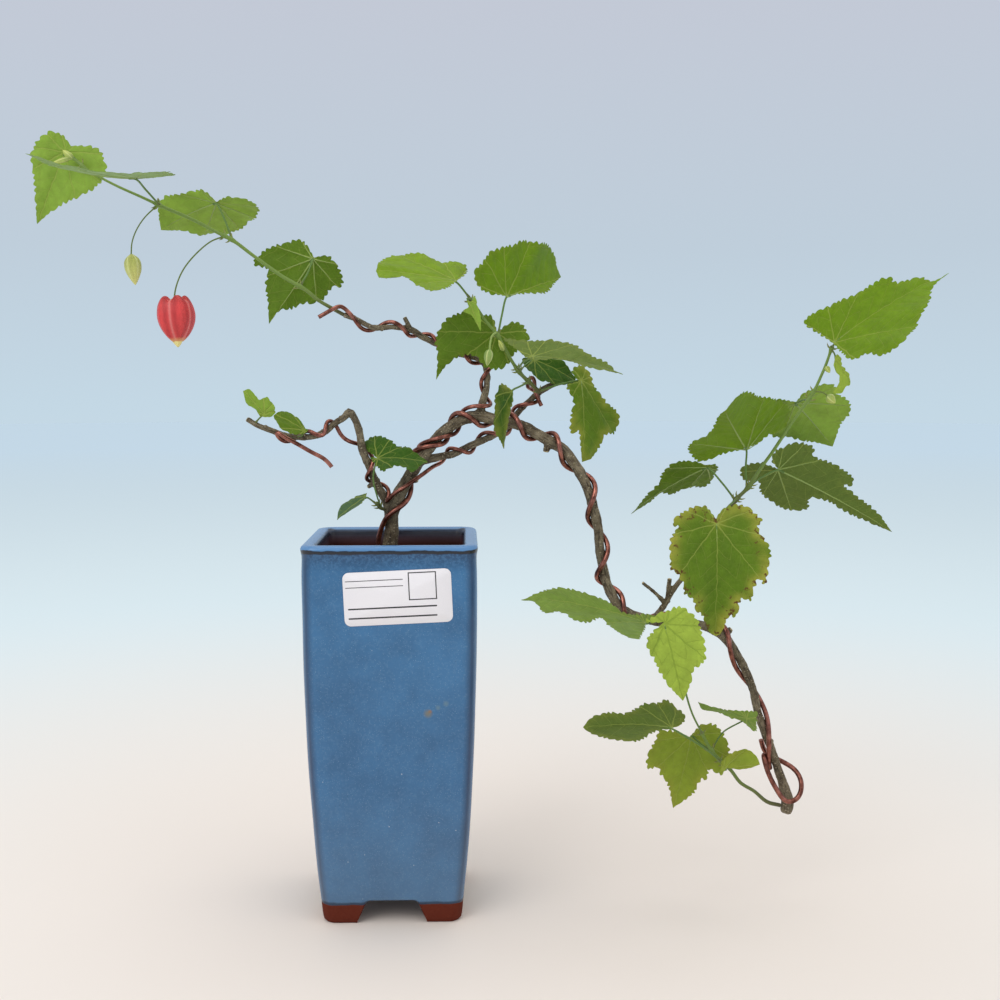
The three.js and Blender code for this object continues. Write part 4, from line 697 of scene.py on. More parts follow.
class Shape:
    """Points in millimetres, faces and values at the points that make up one mesh."""

    def __init__(self):
        self.points, self.corners, self.sizes, self.slots, self.values = [], [], [], [], {}
        self.count = 0

    def add(self, points, faces, slot=0, **values):
        """faces is a list of arrays with one face a row, or a pair of flat corners and sizes."""
        points = np.asarray(points, float)
        for key in set(self.values) | set(values):
            width = np.asarray(values[key], float).reshape(len(points), -1).shape[1] if key in values \
                else self.values[key][0].shape[1]
            rows = self.values.setdefault(key, [np.zeros((self.count, width))] if self.count else [])
            rows.append(np.asarray(values[key], float).reshape(len(points), -1) if key in values
                        else np.zeros((len(points), width)))
        if isinstance(faces, tuple):
            corners, sizes = faces
        else:
            corners = np.concatenate([np.asarray(block).ravel() for block in faces])
            sizes = np.concatenate([np.full(len(block), np.asarray(block).shape[1]) for block in faces])
        self.points.append(points)
        self.corners.append(corners + self.count)
        self.sizes.append(sizes)
        self.slots.append(np.full(len(sizes), slot))
        self.count += len(points)
        return self

    def mesh(self, name, sharp=50):
        points, corners = placed(np.vstack(self.points)), np.concatenate(self.corners)
        sizes = np.concatenate(self.sizes)
        mesh = bpy.data.meshes.new(name)
        mesh.vertices.add(len(points))
        mesh.vertices.foreach_set("co", points.ravel())
        mesh.loops.add(len(corners))
        mesh.loops.foreach_set("vertex_index", corners.astype(np.int32))
        mesh.polygons.add(len(sizes))
        mesh.polygons.foreach_set("loop_start", np.concatenate([[0], np.cumsum(sizes)[:-1]]).astype(np.int32))
        mesh.polygons.foreach_set("material_index", np.concatenate(self.slots).astype(np.int32))
        mesh.update(calc_edges=True)
        mesh.validate()
        mesh.shade_smooth()
        mesh.set_sharp_from_angle(angle=math.radians(sharp))
        for key, blocks in self.values.items():
            rows = np.vstack(blocks)
            if key == "uv":
                layer = mesh.uv_layers.new(name="flat_mm")
                layer.data.foreach_set("uv", rows[corners].ravel())
            else:
                kind, field = {1: ("FLOAT", "value"), 3: ("FLOAT_VECTOR", "vector"), 4: ("FLOAT_COLOR", "color")}[
                    rows.shape[1]]
                mesh.attributes.new(key, kind, "POINT").data.foreach_set(field, rows.ravel())
        return mesh


def show(name, mesh, materials, slot_name, *nodes):
    """Puts a finished mesh in the scene in place of CAD nodes."""
    if not mesh.materials:
        for material in materials:
            mesh.materials.append(material)
    thing = bpy.data.objects.new(name, mesh)
    bpy.context.scene.collection.objects.link(thing)
    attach(thing, "root")
    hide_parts(*nodes)
    return thing


def bars(routes, sides):
    """Points, faces and lengths along of round bars through routes of x, y, z, radius rows."""
    rows = np.vstack(routes)
    mesh = bpy.data.meshes.new("paths")
    mesh.vertices.add(len(rows))
    mesh.vertices.foreach_set("co", rows[:, :3].ravel())
    first = np.concatenate([[0], np.cumsum([len(route) for route in routes])])
    pairs = np.vstack([np.stack([np.arange(a, b - 1), np.arange(a + 1, b)], -1) for a, b in zip(first, first[1:])])
    mesh.edges.add(len(pairs))
    mesh.edges.foreach_set("vertices", pairs.ravel().astype(np.int32))
    mesh.attributes.new("thick", "FLOAT", "POINT").data.foreach_set("value", rows[:, 3])
    tree = bpy.data.node_groups.get("bars_along_paths") or sweep_tree()
    result = grown(mesh, tree, {"Sides": sides})
    points = np.empty(len(result.vertices) * 3)
    result.vertices.foreach_get("co", points)
    corners = np.empty(len(result.loops), np.int32)
    result.loops.foreach_get("vertex_index", corners)
    sizes = np.empty(len(result.polygons), np.int32)
    result.polygons.foreach_get("loop_total", sizes)
    along = np.empty(len(result.vertices))
    result.attributes["along"].data.foreach_get("value", along)
    return points.reshape(-1, 3), (corners, sizes), along


def rounded(route, start=1.0, end=1.0):
    """A route whose ends are drawn in to round tips, by a share of the radius; 0 leaves an end flat."""
    rows = [route]
    for at_end, bulge in ((False, start), (True, end)):
        if bulge <= 0:
            continue
        tip, inner = (route[-1], route[-2]) if at_end else (route[0], route[1])
        way = unit(tip[:3] - inner[:3])
        cap = [np.append(tip[:3] + way * tip[3] * bulge * math.sin(q), tip[3] * math.cos(q))
               for q in (0.4, 0.75, 1.05, 1.3, 1.48)]
        rows = rows + [np.array(cap)] if at_end else [np.array(cap[::-1])] + rows
    return np.vstack(rows)


def lathe(profile, sides, wave=None):
    """Points and faces of a surface turned round Z from radius, height rows; wave scales the reach by angle."""
    profile = np.asarray(profile, float)
    angle = np.linspace(0, 2 * math.pi, sides, endpoint=False)
    scale = wave(angle[None, :], profile[:, 1:2]) if wave else np.ones((len(profile), sides))
    reach = profile[:, :1] * scale
    height = np.broadcast_to(profile[:, 1:2], reach.shape)
    ring = np.stack([reach * np.cos(angle), reach * np.sin(angle), height], -1)
    points = np.vstack([ring.reshape(-1, 3), [[0, 0, profile[0, 1]], [0, 0, profile[-1, 1]]]])
    return points, ring_faces(len(profile), sides), np.broadcast_to(angle, reach.shape).ravel()


def ring_faces(rows, sides):
    """Faces between rings that run anticlockwise downwards, with a point at each end after them."""
    i = np.arange(sides)
    j = (i + 1) % sides
    quads = np.vstack([np.stack([r * sides + i, (r + 1) * sides + i, (r + 1) * sides + j, r * sides + j], -1)
                       for r in range(rows - 1)])
    last = (rows - 1) * sides
    ends = np.vstack([np.stack([i, j, np.full(sides, rows * sides)], -1),
                      np.stack([last + j, last + i, np.full(sides, rows * sides + 1)], -1)])
    return [quads, ends]


# ---------------------------------------------------------------- materials

def coat(name, **settings):
    """A new material, its node tree and its shader, with values set on the shader's own sockets."""
    material = bpy.data.materials.new(name)
    material.use_nodes = True
    shader = material.node_tree.nodes["Principled BSDF"]
    for key, value in settings.items():
        shader.inputs[key.replace("_", " ")].default_value = value
    return material, material.node_tree, shader


def in_mm(tree):
    """The design place of a shaded point, in millimetres."""
    here = put(tree, "TexCoord").outputs["Object"]
    scaled = put(tree, "VectorMath", {0: here, 1: (1 / MM,) * 3}, operation="MULTIPLY")
    return put(tree, "VectorMath", {0: scaled, 1: tuple(ORIGIN / MM)},
               operation="SUBTRACT").outputs[0]


def on_front(pixel):
    """The place on the pot's front wall that is seen at a pixel of the photo."""
    spot = np.array([0.0, -40.6, 100.0])
    for _ in range(6):
        here = seen(spot[None])[0]
        grow = np.array([(seen((spot + step)[None])[0] - here) for step in ([1, 0, 0], [0, 0, 1])]).T
        move = np.linalg.solve(grow, np.array(pixel) - here)
        spot += [move[0], 0, move[1]]
    return tuple(spot)


def glaze_material(body, lip, clay):
    # Glazed stoneware: a glossy mottled blue coat with fine pale specks, with painted shade down the corners,
    # broken to a dark brown line under the lip and pooled dark below it; the feet and the inside are bare
    # red-brown clay, with painted shade darkening the clay inside.
    material, tree, shader = coat("glazed_stoneware", IOR=1.5)
    mm = in_mm(tree)
    xyz = put(tree, "SeparateXYZ", {0: mm}).outputs
    glazed = put(tree, "Attribute", attribute_name="glazed").outputs["Fac"]
    depth = put(tree, "Attribute", attribute_name="depth").outputs["Fac"]
    cloud = put(tree, "TexNoise", {"Vector": mm, "Scale": 0.04, "Detail": 4, "Roughness": 0.6})
    grain = put(tree, "TexNoise", {"Vector": mm, "Scale": 0.8, "Detail": 3, "Roughness": 0.65})
    wander = put(tree, "TexNoise", {"Vector": mm, "Scale": 0.16, "Detail": 2})
    height = put(tree, "Math", {0: wander, 1: 1.6, 2: xyz["Z"]}, operation="MULTIPLY_ADD")
    mottled = put(tree, "MapRange", {0: cloud, 1: 0.36, 2: 0.64})
    frosted = put(tree, "MapRange", {0: grain, 1: 0.5, 2: 0.75, 4: 0.32})
    layers = [(mottled, body), (frosted, "#6488a8")]
    for scale, reach, share, code in SPECKLES:
        dots = put(tree, "TexVoronoi", {"Vector": mm, "Scale": scale}).outputs
        near = put(tree, "MapRange", {0: dots["Distance"], 1: reach * 0.5, 2: reach, 3: 0.7, 4: 0})
        some = put(tree, "Math", {
            0: put(tree, "SeparateColor", {0: dots["Color"]}), 1: share},
            operation="GREATER_THAN")
        dotted = put(tree, "Math", {0: near, 1: some}, operation="MULTIPLY")
        layers.append((dotted, code))
    # Painted shade: the glaze is darkened down the pot's rounded corners
    flat_x = put(tree, "Math", {0: xyz["X"]}, operation="ABSOLUTE")
    flat_y = put(tree, "Math", {0: xyz["Y"]}, operation="ABSOLUTE")
    least = put(tree, "Math", {0: flat_x, 1: flat_y}, operation="MINIMUM")
    most = put(tree, "Math", {0: flat_x, 1: flat_y}, operation="MAXIMUM")
    ratio = put(tree, "Math", {0: least, 1: most}, operation="DIVIDE")
    corner = put(tree, "MapRange", {0: ratio, 1: 0.87, 2: 0.99, 4: 0.85})
    # Paler low down
    low_down = put(tree, "MapRange", {0: xyz["Z"], 1: 70, 2: 10, 4: 0.35})
    # Bands under the lip, from the body upwards, and the dark inner edge of the lip
    band = put(tree, "MapRange", {0: height, 1: 170, 2: 180}, interpolation_type="SMOOTHSTEP")
    dusk = put(tree, "MapRange", {0: grain, 1: 0.42, 2: 0.58, 3: 0.7, 4: 0.1})
    dusk = put(tree, "Math", {0: band, 1: dusk}, operation="MULTIPLY")
    layers += [(corner, "#1f3a5c"), (low_down, "#66798a"), (dusk, "#152d4f")]
    for low, high, share, code in [*LIP_BANDS, (*LIP_LINE, lip)]:
        rise = put(tree, "MapRange", {0: height, 1: low, 2: high, 4: share},
                   interpolation_type="SMOOTHSTEP")
        layers.append((rise, code))
    brink = put(tree, "MapRange", {0: depth, 1: -5.4, 2: -6.3, 4: 0.9})
    layers.append((brink, "#232431"))
    # Smudges and specks where the photo shows them
    for pixel, reach, code in SMUDGES:
        away = put(tree, "VectorMath", {0: mm, 1: on_front(pixel)}, operation="DISTANCE").outputs["Value"]
        near = put(tree, "MapRange", {0: away, 1: reach * 0.3, 2: reach, 3: 0.85, 4: 0})
        layers.append((near, code))
    # Bare clay on the feet, below the glaze's dark edge, and inside under the lip
    edge = put(tree, "MapRange", {0: height, 1: 12.2, 2: 10.9, 4: 0.9}, interpolation_type="SMOOTHSTEP")
    layers.append((edge, "#1b2c42"))
    shade = linear("#32618a")
    for share, code in layers:
        shade = put(tree, "Mix", {0: share, 6: shade, 7: linear(code)}, data_type="RGBA").outputs[2]
    foot = put(tree, "MapRange", {0: height, 1: 10.4, 2: 10.1})
    hidden = put(tree, "Math", {0: 1, 1: glazed}, operation="SUBTRACT")
    bare = put(tree, "Math", {0: foot, 1: hidden}, operation="MAXIMUM")
    clayey = put(tree, "Mix", {0: grain, 6: linear(clay), 7: linear("#6a3021")}, data_type="RGBA").outputs[2]
    # Painted shade: the bare clay of the faces the glaze doesn't reach, inside the pot and underneath, is darkened
    # towards near black
    inner = put(tree, "Math", {0: hidden, 1: 0.75}, operation="MULTIPLY")
    clayey = put(tree, "Mix", {0: inner, 6: clayey, 7: linear("#2a1a17")}, data_type="RGBA").outputs[2]
    shade = put(tree, "Mix", {0: bare, 6: shade, 7: clayey}, data_type="RGBA").outputs[2]
    tree.links.new(shade, shader.inputs["Base Color"])
    rough = put(tree, "MapRange", {0: bare, 3: 0.24, 4: 0.8}).outputs[0]
    tree.links.new(rough, shader.inputs["Roughness"])
    gloss = put(tree, "MapRange", {0: bare, 3: 0.5, 4: 0.12}).outputs[0]
    tree.links.new(gloss, shader.inputs["Specular IOR Level"])
    lumps = put(tree, "Math", {0: grain, 1: 0.3, 2: wander}, operation="MULTIPLY_ADD")
    relief = put(tree, "Bump", {"Strength": 0.3, "Distance": 0.0006, "Height": lumps}).outputs[0]
    tree.links.new(relief, shader.inputs["Normal"])
    return material


def soil_material():
    # Potting soil: dark moist crumbs, some of them pale fired clay.
    material, tree, shader = coat("potting_soil", Roughness=0.95)
    mm = in_mm(tree)
    lumps = put(tree, "TexVoronoi", {"Vector": mm, "Scale": 0.45}).outputs
    fine = put(tree, "TexNoise", {"Vector": mm, "Scale": 1.6, "Detail": 6, "Roughness": 0.7})
    tone = put(tree, "SeparateColor", {0: lumps["Color"]})
    crumbly = put(tree, "MapRange", {0: fine, 1: 0.45, 2: 0.75})
    shade = linear("#2a1c14")
    for share, code in ((tone, "#6d4a30"), (crumbly, "#8a6b4a")):
        shade = put(tree, "Mix", {0: share, 6: shade, 7: linear(code)}, data_type="RGBA").outputs[2]
    tree.links.new(shade, shader.inputs["Base Color"])
    relief = put(tree, "Bump", {"Strength": 0.8, "Distance": 0.0005, "Height": fine}).outputs[0]
    tree.links.new(relief, shader.inputs["Normal"])
    return material


def paper_material():
    # Label paper: matt white with the faintest warm grain.
    material, tree, shader = coat("label_paper", Roughness=0.55)
    fibre = put(tree, "TexNoise", {"Vector": in_mm(tree), "Scale": 1.8, "Detail": 4})
    shade = put(tree, "Mix", {
        0: fibre, 6: linear("#f4eeef"), 7: linear("#eae4e5")}, data_type="RGBA").outputs[2]
    tree.links.new(shade, shader.inputs["Base Color"])
    return material


def ink_material():
    # Printed ink: near black, a little uneven as a ribbon printer leaves it.
    material, tree, shader = coat("printed_ink", Roughness=0.45)
    wear = put(tree, "TexNoise", {"Vector": in_mm(tree), "Scale": 2.5, "Detail": 3})
    shade = put(tree, "Mix", {0: wear, 6: linear("#161414"), 7: linear("#3a3737")}, data_type="RGBA").outputs[2]
    tree.links.new(shade, shader.inputs["Base Color"])
    return material


def bark_material():
    # Young maple bark: grey-brown with an olive cast, dark streaks along the limb and pale raised
    # lenticels across it; cut ends show pale wood.
    material, tree, shader = coat("maple_bark", Roughness=0.8, Specular_IOR_Level=0.3)
    grain = put(tree, "Attribute", attribute_name="grain").outputs["Vector"]
    cut = put(tree, "Attribute", attribute_name="cut").outputs["Fac"]
    broad = put(tree, "TexNoise", {"Vector": grain, "Scale": 0.16, "Detail": 5, "Roughness": 0.65})
    along = put(tree, "VectorMath", {0: grain, 1: (0.22, 1.6, 1.6)}, operation="MULTIPLY")
    streak = put(tree, "TexNoise", {"Vector": along, "Scale": 1, "Detail": 6, "Roughness": 0.7})
    fine = put(tree, "TexNoise", {"Vector": grain, "Scale": 2.2, "Detail": 5, "Roughness": 0.7})
    weathered = put(tree, "MapRange", {0: broad, 1: 0.38, 2: 0.64})
    mossy = put(tree, "MapRange", {0: streak, 1: 0.52, 2: 0.7, 4: 0.55})
    flake = put(tree, "MapRange", {0: fine, 1: 0.57, 2: 0.7, 4: 0.6})
    dark = put(tree, "MapRange", {0: streak, 1: 0.49, 2: 0.38, 4: 0.85})
    across = put(tree, "VectorMath", {0: grain, 1: (0.85, 0.38, 0.38)}, operation="MULTIPLY")
    pores = put(tree, "TexVoronoi", {"Vector": across, "Scale": 1}).outputs["Distance"]
    pore = put(tree, "MapRange", {0: pores, 1: 0.12, 2: 0.24, 3: 0.9, 4: 0})
    shade = linear("#564937")
    for share, code in ((weathered, "#8f8168"), (mossy, "#5e5a34"), (flake, "#b9b3a6"), (dark, "#2a2119"),
                        (pore, "#bcae90")):
        shade = put(tree, "Mix", {0: share, 6: shade, 7: linear(code)}, data_type="RGBA").outputs[2]
    pale = put(tree, "Mix", {0: fine, 6: linear("#b49a6a"), 7: linear("#dcc99c")}, data_type="RGBA").outputs[2]
    shade = put(tree, "Mix", {0: cut, 6: shade, 7: pale}, data_type="RGBA").outputs[2]
    tree.links.new(shade, shader.inputs["Base Color"])
    ridges = put(tree, "Math", {0: fine, 1: 0.4, 2: streak}, operation="MULTIPLY_ADD")
    raised = put(tree, "Math", {0: pore, 1: 0.35, 2: ridges}, operation="MULTIPLY_ADD")
    relief = put(tree, "Bump", {"Strength": 1, "Distance": 0.0007, "Height": raised}).outputs[0]
    tree.links.new(relief, shader.inputs["Normal"])
    return material


def wire_material(tone):
    # Anodised aluminium bonsai wire: satin copper-brown metal, dulled in patches and finely drawn.
    material, tree, shader = coat("anodised_aluminium", Metallic=1, Roughness=0.3)
    mm = in_mm(tree)
    patch = put(tree, "TexNoise", {"Vector": mm, "Scale": 0.28, "Detail": 5, "Roughness": 0.6})
    fine = put(tree, "TexNoise", {"Vector": mm, "Scale": 3, "Detail": 4})
    bright = put(tree, "MapRange", {0: patch, 1: 0.35, 2: 0.65})
    shade = put(tree, "Mix", {0: bright, 6: linear("#5a352c"), 7: linear(tone)}, data_type="RGBA").outputs[2]
    tree.links.new(shade, shader.inputs["Base Color"])
    rough = put(tree, "MapRange", {0: patch, 1: 0.3, 2: 0.7, 3: 0.42, 4: 0.24}).outputs[0]
    tree.links.new(rough, shader.inputs["Roughness"])
    relief = put(tree, "Bump", {"Strength": 0.25, "Distance": 0.0001, "Height": fine}).outputs[0]
    tree.links.new(relief, shader.inputs["Normal"])
    return material


def skin_material(name, rough, streaks, sheen=0.08):
    # Living green or coloured plant skin: its tone comes with the mesh, with fine streaks; the sheen
    # stands for its short hairs.
    material, tree, shader = coat(
        name, Roughness=rough, Sheen_Weight=sheen, Sheen_Roughness=0.5, Specular_IOR_Level=0.35)
    tint = put(tree, "Attribute", attribute_name="tint").outputs["Color"]
    mm = in_mm(tree)
    drawn = put(tree, "VectorMath", {0: mm, 1: streaks}, operation="MULTIPLY")
    fine = put(tree, "TexNoise", {"Vector": drawn, "Scale": 1, "Detail": 5, "Roughness": 0.65})
    light = put(tree, "MapRange", {0: fine, 1: 0.25, 2: 0.75, 3: 0.84, 4: 1.14})
    shade = put(tree, "VectorMath", {0: tint, "Scale": light}, operation="SCALE").outputs[0]
    tree.links.new(shade, shader.inputs["Base Color"])
    relief = put(tree, "Bump", {"Strength": 0.4, "Distance": 0.0002, "Height": fine}).outputs[0]
    tree.links.new(relief, shader.inputs["Normal"])
    return material


def leaf_material():
    # Leaf blade: the tone comes with the mesh; palmate main veins, feathered side veins and a fine net
    # are drawn from the flat map in millimetres, paler than the blade, sunk above and raised beneath;
    # light shines through a little.
    material, tree, shader = coat("leaf_blade", Roughness=0.5, Specular_IOR_Level=0.15)
    flat = put(tree, "UVMap", uv_map="flat_mm")
    tint = put(tree, "Attribute", attribute_name="tint").outputs["Color"]
    under = put(tree, "Attribute", attribute_name="under").outputs["Fac"]
    worn = put(tree, "Attribute", attribute_name="worn").outputs["Fac"]
    uneven = put(tree, "TexNoise", {"Vector": flat, "Scale": 0.14, "Detail": 2}).outputs["Color"]
    shift = put(tree, "VectorMath", {0: uneven, 1: (0.5, 0.5, 0.5)}, operation="SUBTRACT")
    bent = put(tree, "VectorMath", {0: shift, 1: (2.2, 2.2, 0), 2: flat}, operation="MULTIPLY_ADD")
    axes = put(tree, "SeparateXYZ", {0: bent}).outputs
    away = put(tree, "VectorMath", {0: bent}, operation="LENGTH").outputs["Value"]
    turn = put(tree, "Math", {0: axes["X"], 1: axes["Y"]}, operation="ARCTAN2")
    off = put(tree, "Math", {0: turn, 1: SECTOR / 2, 2: -SECTOR / 2}, operation="WRAP")
    sine = put(tree, "Math", {0: put(tree, "Math", {0: off}, operation="SINE")}, operation="ABSOLUTE")
    main = put(tree, "Math", {0: sine, 1: away}, operation="MULTIPLY")
    cosine = put(tree, "Math", {0: off}, operation="COSINE")
    ahead = put(tree, "Math", {0: cosine, 1: away}, operation="MULTIPLY")
    slant = put(tree, "Math", {0: main, 1: -RIB_SLANT, 2: ahead}, operation="MULTIPLY_ADD")
    rib = put(tree, "Math", {0: slant, 1: RIB_STEP / 2}, operation="PINGPONG")
    width = put(tree, "MapRange", {0: away, 2: 45, 3: 0.45, 4: 0.16})
    mains = put(tree, "MapRange", {
        0: put(tree, "Math", {0: main, 1: width}, operation="DIVIDE"), 1: 0.45, 2: 1.2, 3: 1,
        4: 0}, interpolation_type="SMOOTHSTEP")
    ribs = put(tree, "MapRange", {0: rib, 1: 0.05, 2: 0.26, 3: 0.62, 4: 0},
               interpolation_type="SMOOTHSTEP")
    cells = put(tree, "TexVoronoi", {"Vector": bent, "Scale": 0.62}, feature="DISTANCE_TO_EDGE")
    net = put(tree, "MapRange", {0: cells, 1: 0, 2: 0.1, 3: 0.16, 4: 0})
    veins = put(tree, "Math", {
        0: put(tree, "Math", {0: mains, 1: ribs}, operation="MAXIMUM"), 1: net},
        operation="MAXIMUM")
    blotch = put(tree, "TexNoise", {"Vector": flat, "Scale": 0.3, "Detail": 5, "Roughness": 0.6})
    light = put(tree, "MapRange", {0: blotch, 1: 0.3, 2: 0.7, 3: 0.88, 4: 1.1})
    shade = put(tree, "VectorMath", {0: tint, "Scale": light}, operation="SCALE").outputs[0]
    pale = put(tree, "Mix", {0: 0.5, 6: shade, 7: linear("#b4bf5c")}, data_type="RGBA").outputs[2]
    # Painted shade: on the leaf lit from behind, the veins are mixed darker instead of paler, as they look against
    # the light
    lit = put(tree, "Attribute", attribute_name="lit_through").outputs["Fac"]
    dull = put(tree, "Mix", {0: 0.35, 6: shade, 7: linear("#6c8a2a")}, data_type="RGBA").outputs[2]
    pale = put(tree, "Mix", {0: lit, 6: pale, 7: dull}, data_type="RGBA").outputs[2]
    veined = put(tree, "Math", {0: veins, 1: 0.9}, operation="MULTIPLY")
    shade = put(tree, "Mix", {0: veined, 6: shade, 7: pale}, data_type="RGBA").outputs[2]
    decay = put(tree, "TexNoise", {"Vector": flat, "Scale": 0.24, "Detail": 4, "Roughness": 0.7})
    limit = put(tree, "MapRange", {0: worn, 3: 0.86, 4: 0.54})
    over = put(tree, "Math", {0: decay, 1: limit}, operation="SUBTRACT")
    spot = put(tree, "MapRange", {0: over, 1: 0, 2: 0.05})
    shade = put(tree, "Mix", {0: spot, 6: shade, 7: linear("#6a4a26")}, data_type="RGBA").outputs[2]
    tree.links.new(shade, shader.inputs["Base Color"])
    sign = put(tree, "MapRange", {0: under, 3: -1, 4: 1})
    height = put(tree, "Math", {0: veins, 1: sign}, operation="MULTIPLY")
    relief = put(tree, "Bump", {"Strength": 0.6, "Distance": 0.0004, "Height": height}).outputs[0]
    tree.links.new(relief, shader.inputs["Normal"])
    through = put(tree, "BsdfTranslucent", {"Color": shade, "Normal": relief})
    both = put(tree, "MixShader", {0: 0.22, 1: shader, 2: through})
    tree.links.new(both.outputs[0], tree.nodes["Material Output"].inputs["Surface"])
    return material


def stage_material(near, far):
    # Studio paper: matt, pale and warm white, taking on the blue of the backdrop far away.
    material, tree, shader = coat("studio_paper", Roughness=0.9, Specular_IOR_Level=0)
    away = put(tree, "VectorMath", {0: put(tree, "TexCoord").outputs["Object"]},
               operation="LENGTH").outputs["Value"]
    ramp = put(tree, "MapRange", {0: away, 1: 0.05, 2: 1}, interpolation_type="SMOOTHSTEP")
    shade = put(tree, "Mix", {0: ramp, 6: linear(near), 7: linear(far)}, data_type="RGBA").outputs[2]
    ramp = put(tree, "MapRange", {0: away, 1: 1, 2: 4.5})
    shade = put(tree, "Mix", {0: ramp, 6: shade, 7: linear("#d8edfb")}, data_type="RGBA").outputs[2]
    tree.links.new(shade, shader.inputs["Base Color"])
    return material




# ---------------------------------------------------------------- pieces

def rounded_square(half, corner, z):
    """A square's outline with round corners, as points at one height."""
    points = []
    for quarter in range(4):
        middle = math.pi / 4 + quarter * math.pi / 2
        centre = (half - corner) * math.sqrt(2) * np.array([math.cos(middle), math.sin(middle)])
        angles = quarter * math.pi / 2 + np.linspace(0, math.pi / 2, CORNER_POINTS)
        points.append(centre + corner * np.stack([np.cos(angles), np.sin(angles)], -1))
    loop = np.vstack(points)
    rows = []
    for quarter in range(4):
        rows.append(loop[quarter * CORNER_POINTS:(quarter + 1) * CORNER_POINTS])
        a, b = rows[-1][-1], loop[(quarter + 1) * CORNER_POINTS % len(loop)]
        share = np.linspace(0, 1, SIDE_POINTS + 2)[1:-1, None]
        rows.append(a + share * (b - a))
    flat = np.vstack(rows)
    return np.column_stack([flat, np.full(len(flat), z)])


def prism(name, outline, spots, turned=False):
    """A cutter: an outline of x, z points drawn along Y, widened at each spot as its second value says."""
    shape = np.array([(x, z) for x, z in outline] + [(-x, z) for x, z in outline[::-1]])
    rings = []
    for y, wider in spots:
        x = shape[:, 0] + np.sign(shape[:, 0]) * wider
        z = shape[:, 1] + np.where(shape[:, 1] > ARCH_SHOULDER, wider, 0)
        ring = np.stack([x, np.full(len(x), y), z], -1)
        rings.append(ring @ np.array([[0, 1, 0], [-1, 0, 0], [0, 0, 1]]) if turned else ring)
    sides = len(shape)
    middle = [rings[0].mean(0), rings[-1].mean(0)]
    points = np.vstack(rings + [[middle[0]], [middle[1]]])
    return Shape().add(points, ring_faces(len(rings), sides)).mesh(name)


def carved(mesh, cutters):
    """A mesh with others cut out of it."""
    body = bpy.data.objects.new("carved", mesh)
    bpy.context.scene.collection.objects.link(body)
    tools = []
    for cutter in cutters:
        tool = bpy.data.objects.new("cutter", cutter)
        bpy.context.scene.collection.objects.link(tool)
        tools.append(tool)
        cut = body.modifiers.new("cut", "BOOLEAN")
        cut.operation = "DIFFERENCE"
        cut.solver = "EXACT"
        cut.object = tool
    graph = bpy.context.evaluated_depsgraph_get()
    result = bpy.data.meshes.new_from_object(body.evaluated_get(graph), depsgraph=graph)
    for thing in tools + [body]:
        bpy.data.objects.remove(thing)
    result.shade_smooth()
    result.set_sharp_from_angle(angle=math.radians(35))
    return result


def build_pot(colours):
    outside = smooth_line([(z, half, corner) for half, corner, z in POT_OUTSIDE[::-1]], 1.6)
    over = smooth_line([(half, z, corner) for half, corner, z in POT_LIP[::-1]], 0.35)
    inside = smooth_line([(z, half, corner) for half, corner, z in POT_INSIDE[::-1]], 4)
    rows = [(half, corner, z) for z, half, corner in inside]
    rows += [(half, corner, z) for half, z, corner in over]
    rows += [(half, corner, z) for z, half, corner in outside]
    rings = [rounded_square(*row) for row in rows]
    for ring in rings:
        for point in ring:
            wave = noise.noise(Vector(point * 0.03))
            point[:2] *= 1 + 0.004 * wave * min(1, max(0, (182 - point[2]) / 20))
    sides = len(rings[0])
    points = np.vstack(rings + [[[0, 0, rows[0][2]]], [[0, 0, rows[-1][2]]]])
    shell = Shape().add(points, ring_faces(len(rings), sides)).mesh("shell")
    spots = [(-y, wider) for y, wider in ARCH_FLARE[::-1]] + ARCH_FLARE
    recess = [(RECESS_HALF, -1), (RECESS_HALF, RECESS_HEIGHT - 1), (RECESS_HALF - 1, RECESS_HEIGHT)]
    points, faces, _ = lathe([(DRAIN_RADIUS, 40), (DRAIN_RADIUS, -5)], 48)
    drain = Shape().add(points, faces).mesh("drain")
    mesh = carved(shell, [
        prism("arch", ARCH, spots), prism("cross_arch", ARCH, spots, turned=True),
        prism("recess", recess, [(-RECESS_HALF, 0), (RECESS_HALF, 0)]), drain])
    co = np.empty(len(mesh.vertices) * 3)
    mesh.vertices.foreach_get("co", co)
    co = (co.reshape(-1, 3) - ORIGIN) / MM
    table = np.array(sorted((z, half, corner) for half, corner, z in POT_OUTSIDE))
    half, corner = np.interp(co[:, 2], table[:, 0], table[:, 1]), np.interp(co[:, 2], table[:, 0], table[:, 2])
    beyond = np.abs(co[:, :2]) - (half - corner)[:, None]
    depth = np.linalg.norm(np.maximum(beyond, 0), axis=1) + np.minimum(beyond.max(1), 0) - corner
    glazed = np.maximum(np.clip((depth + 1.3) / 0.5, 0, 1), np.clip((co[:, 2] - 177.6) / 1.4, 0, 1))
    mesh.attributes.new("glazed", "FLOAT", "POINT").data.foreach_set("value", glazed)
    mesh.attributes.new("depth", "FLOAT", "POINT").data.foreach_set("value", depth)
    show("pot_look", mesh, [glaze_material(colours.glaze, colours.lip, colours.clay)], "glaze", "pot")


def build_soil(sizes):
    top = [(33.4 * share, max(0.3, 4.4 * share), SOIL_TOP) for share in np.linspace(0.02, 0.98, 24)]
    rings = [rounded_square(*row) for row in top + SOIL_BLOCK]
    for ring in rings[:len(top)]:
        for point in ring:
            point[2] += 1.6 * noise.fractal(Vector(point * 0.09), 1, 2, 3)
    points = np.vstack(rings + [[[0, 0, SOIL_TOP]], [[0, 0, SOIL_BLOCK[-1][2]]]])
    block = Shape().add(points, ring_faces(len(rings), len(rings[0]))).mesh("soil_block")
    material = soil_material()
    mesh = grown(block, crumbs_tree(), {
        "Seed": 7, "Density": CRUMBS_PER_M2, "Size": sizes.crumb, "Material": material})
    show("soil_look", mesh, [material], "soil", "soil")


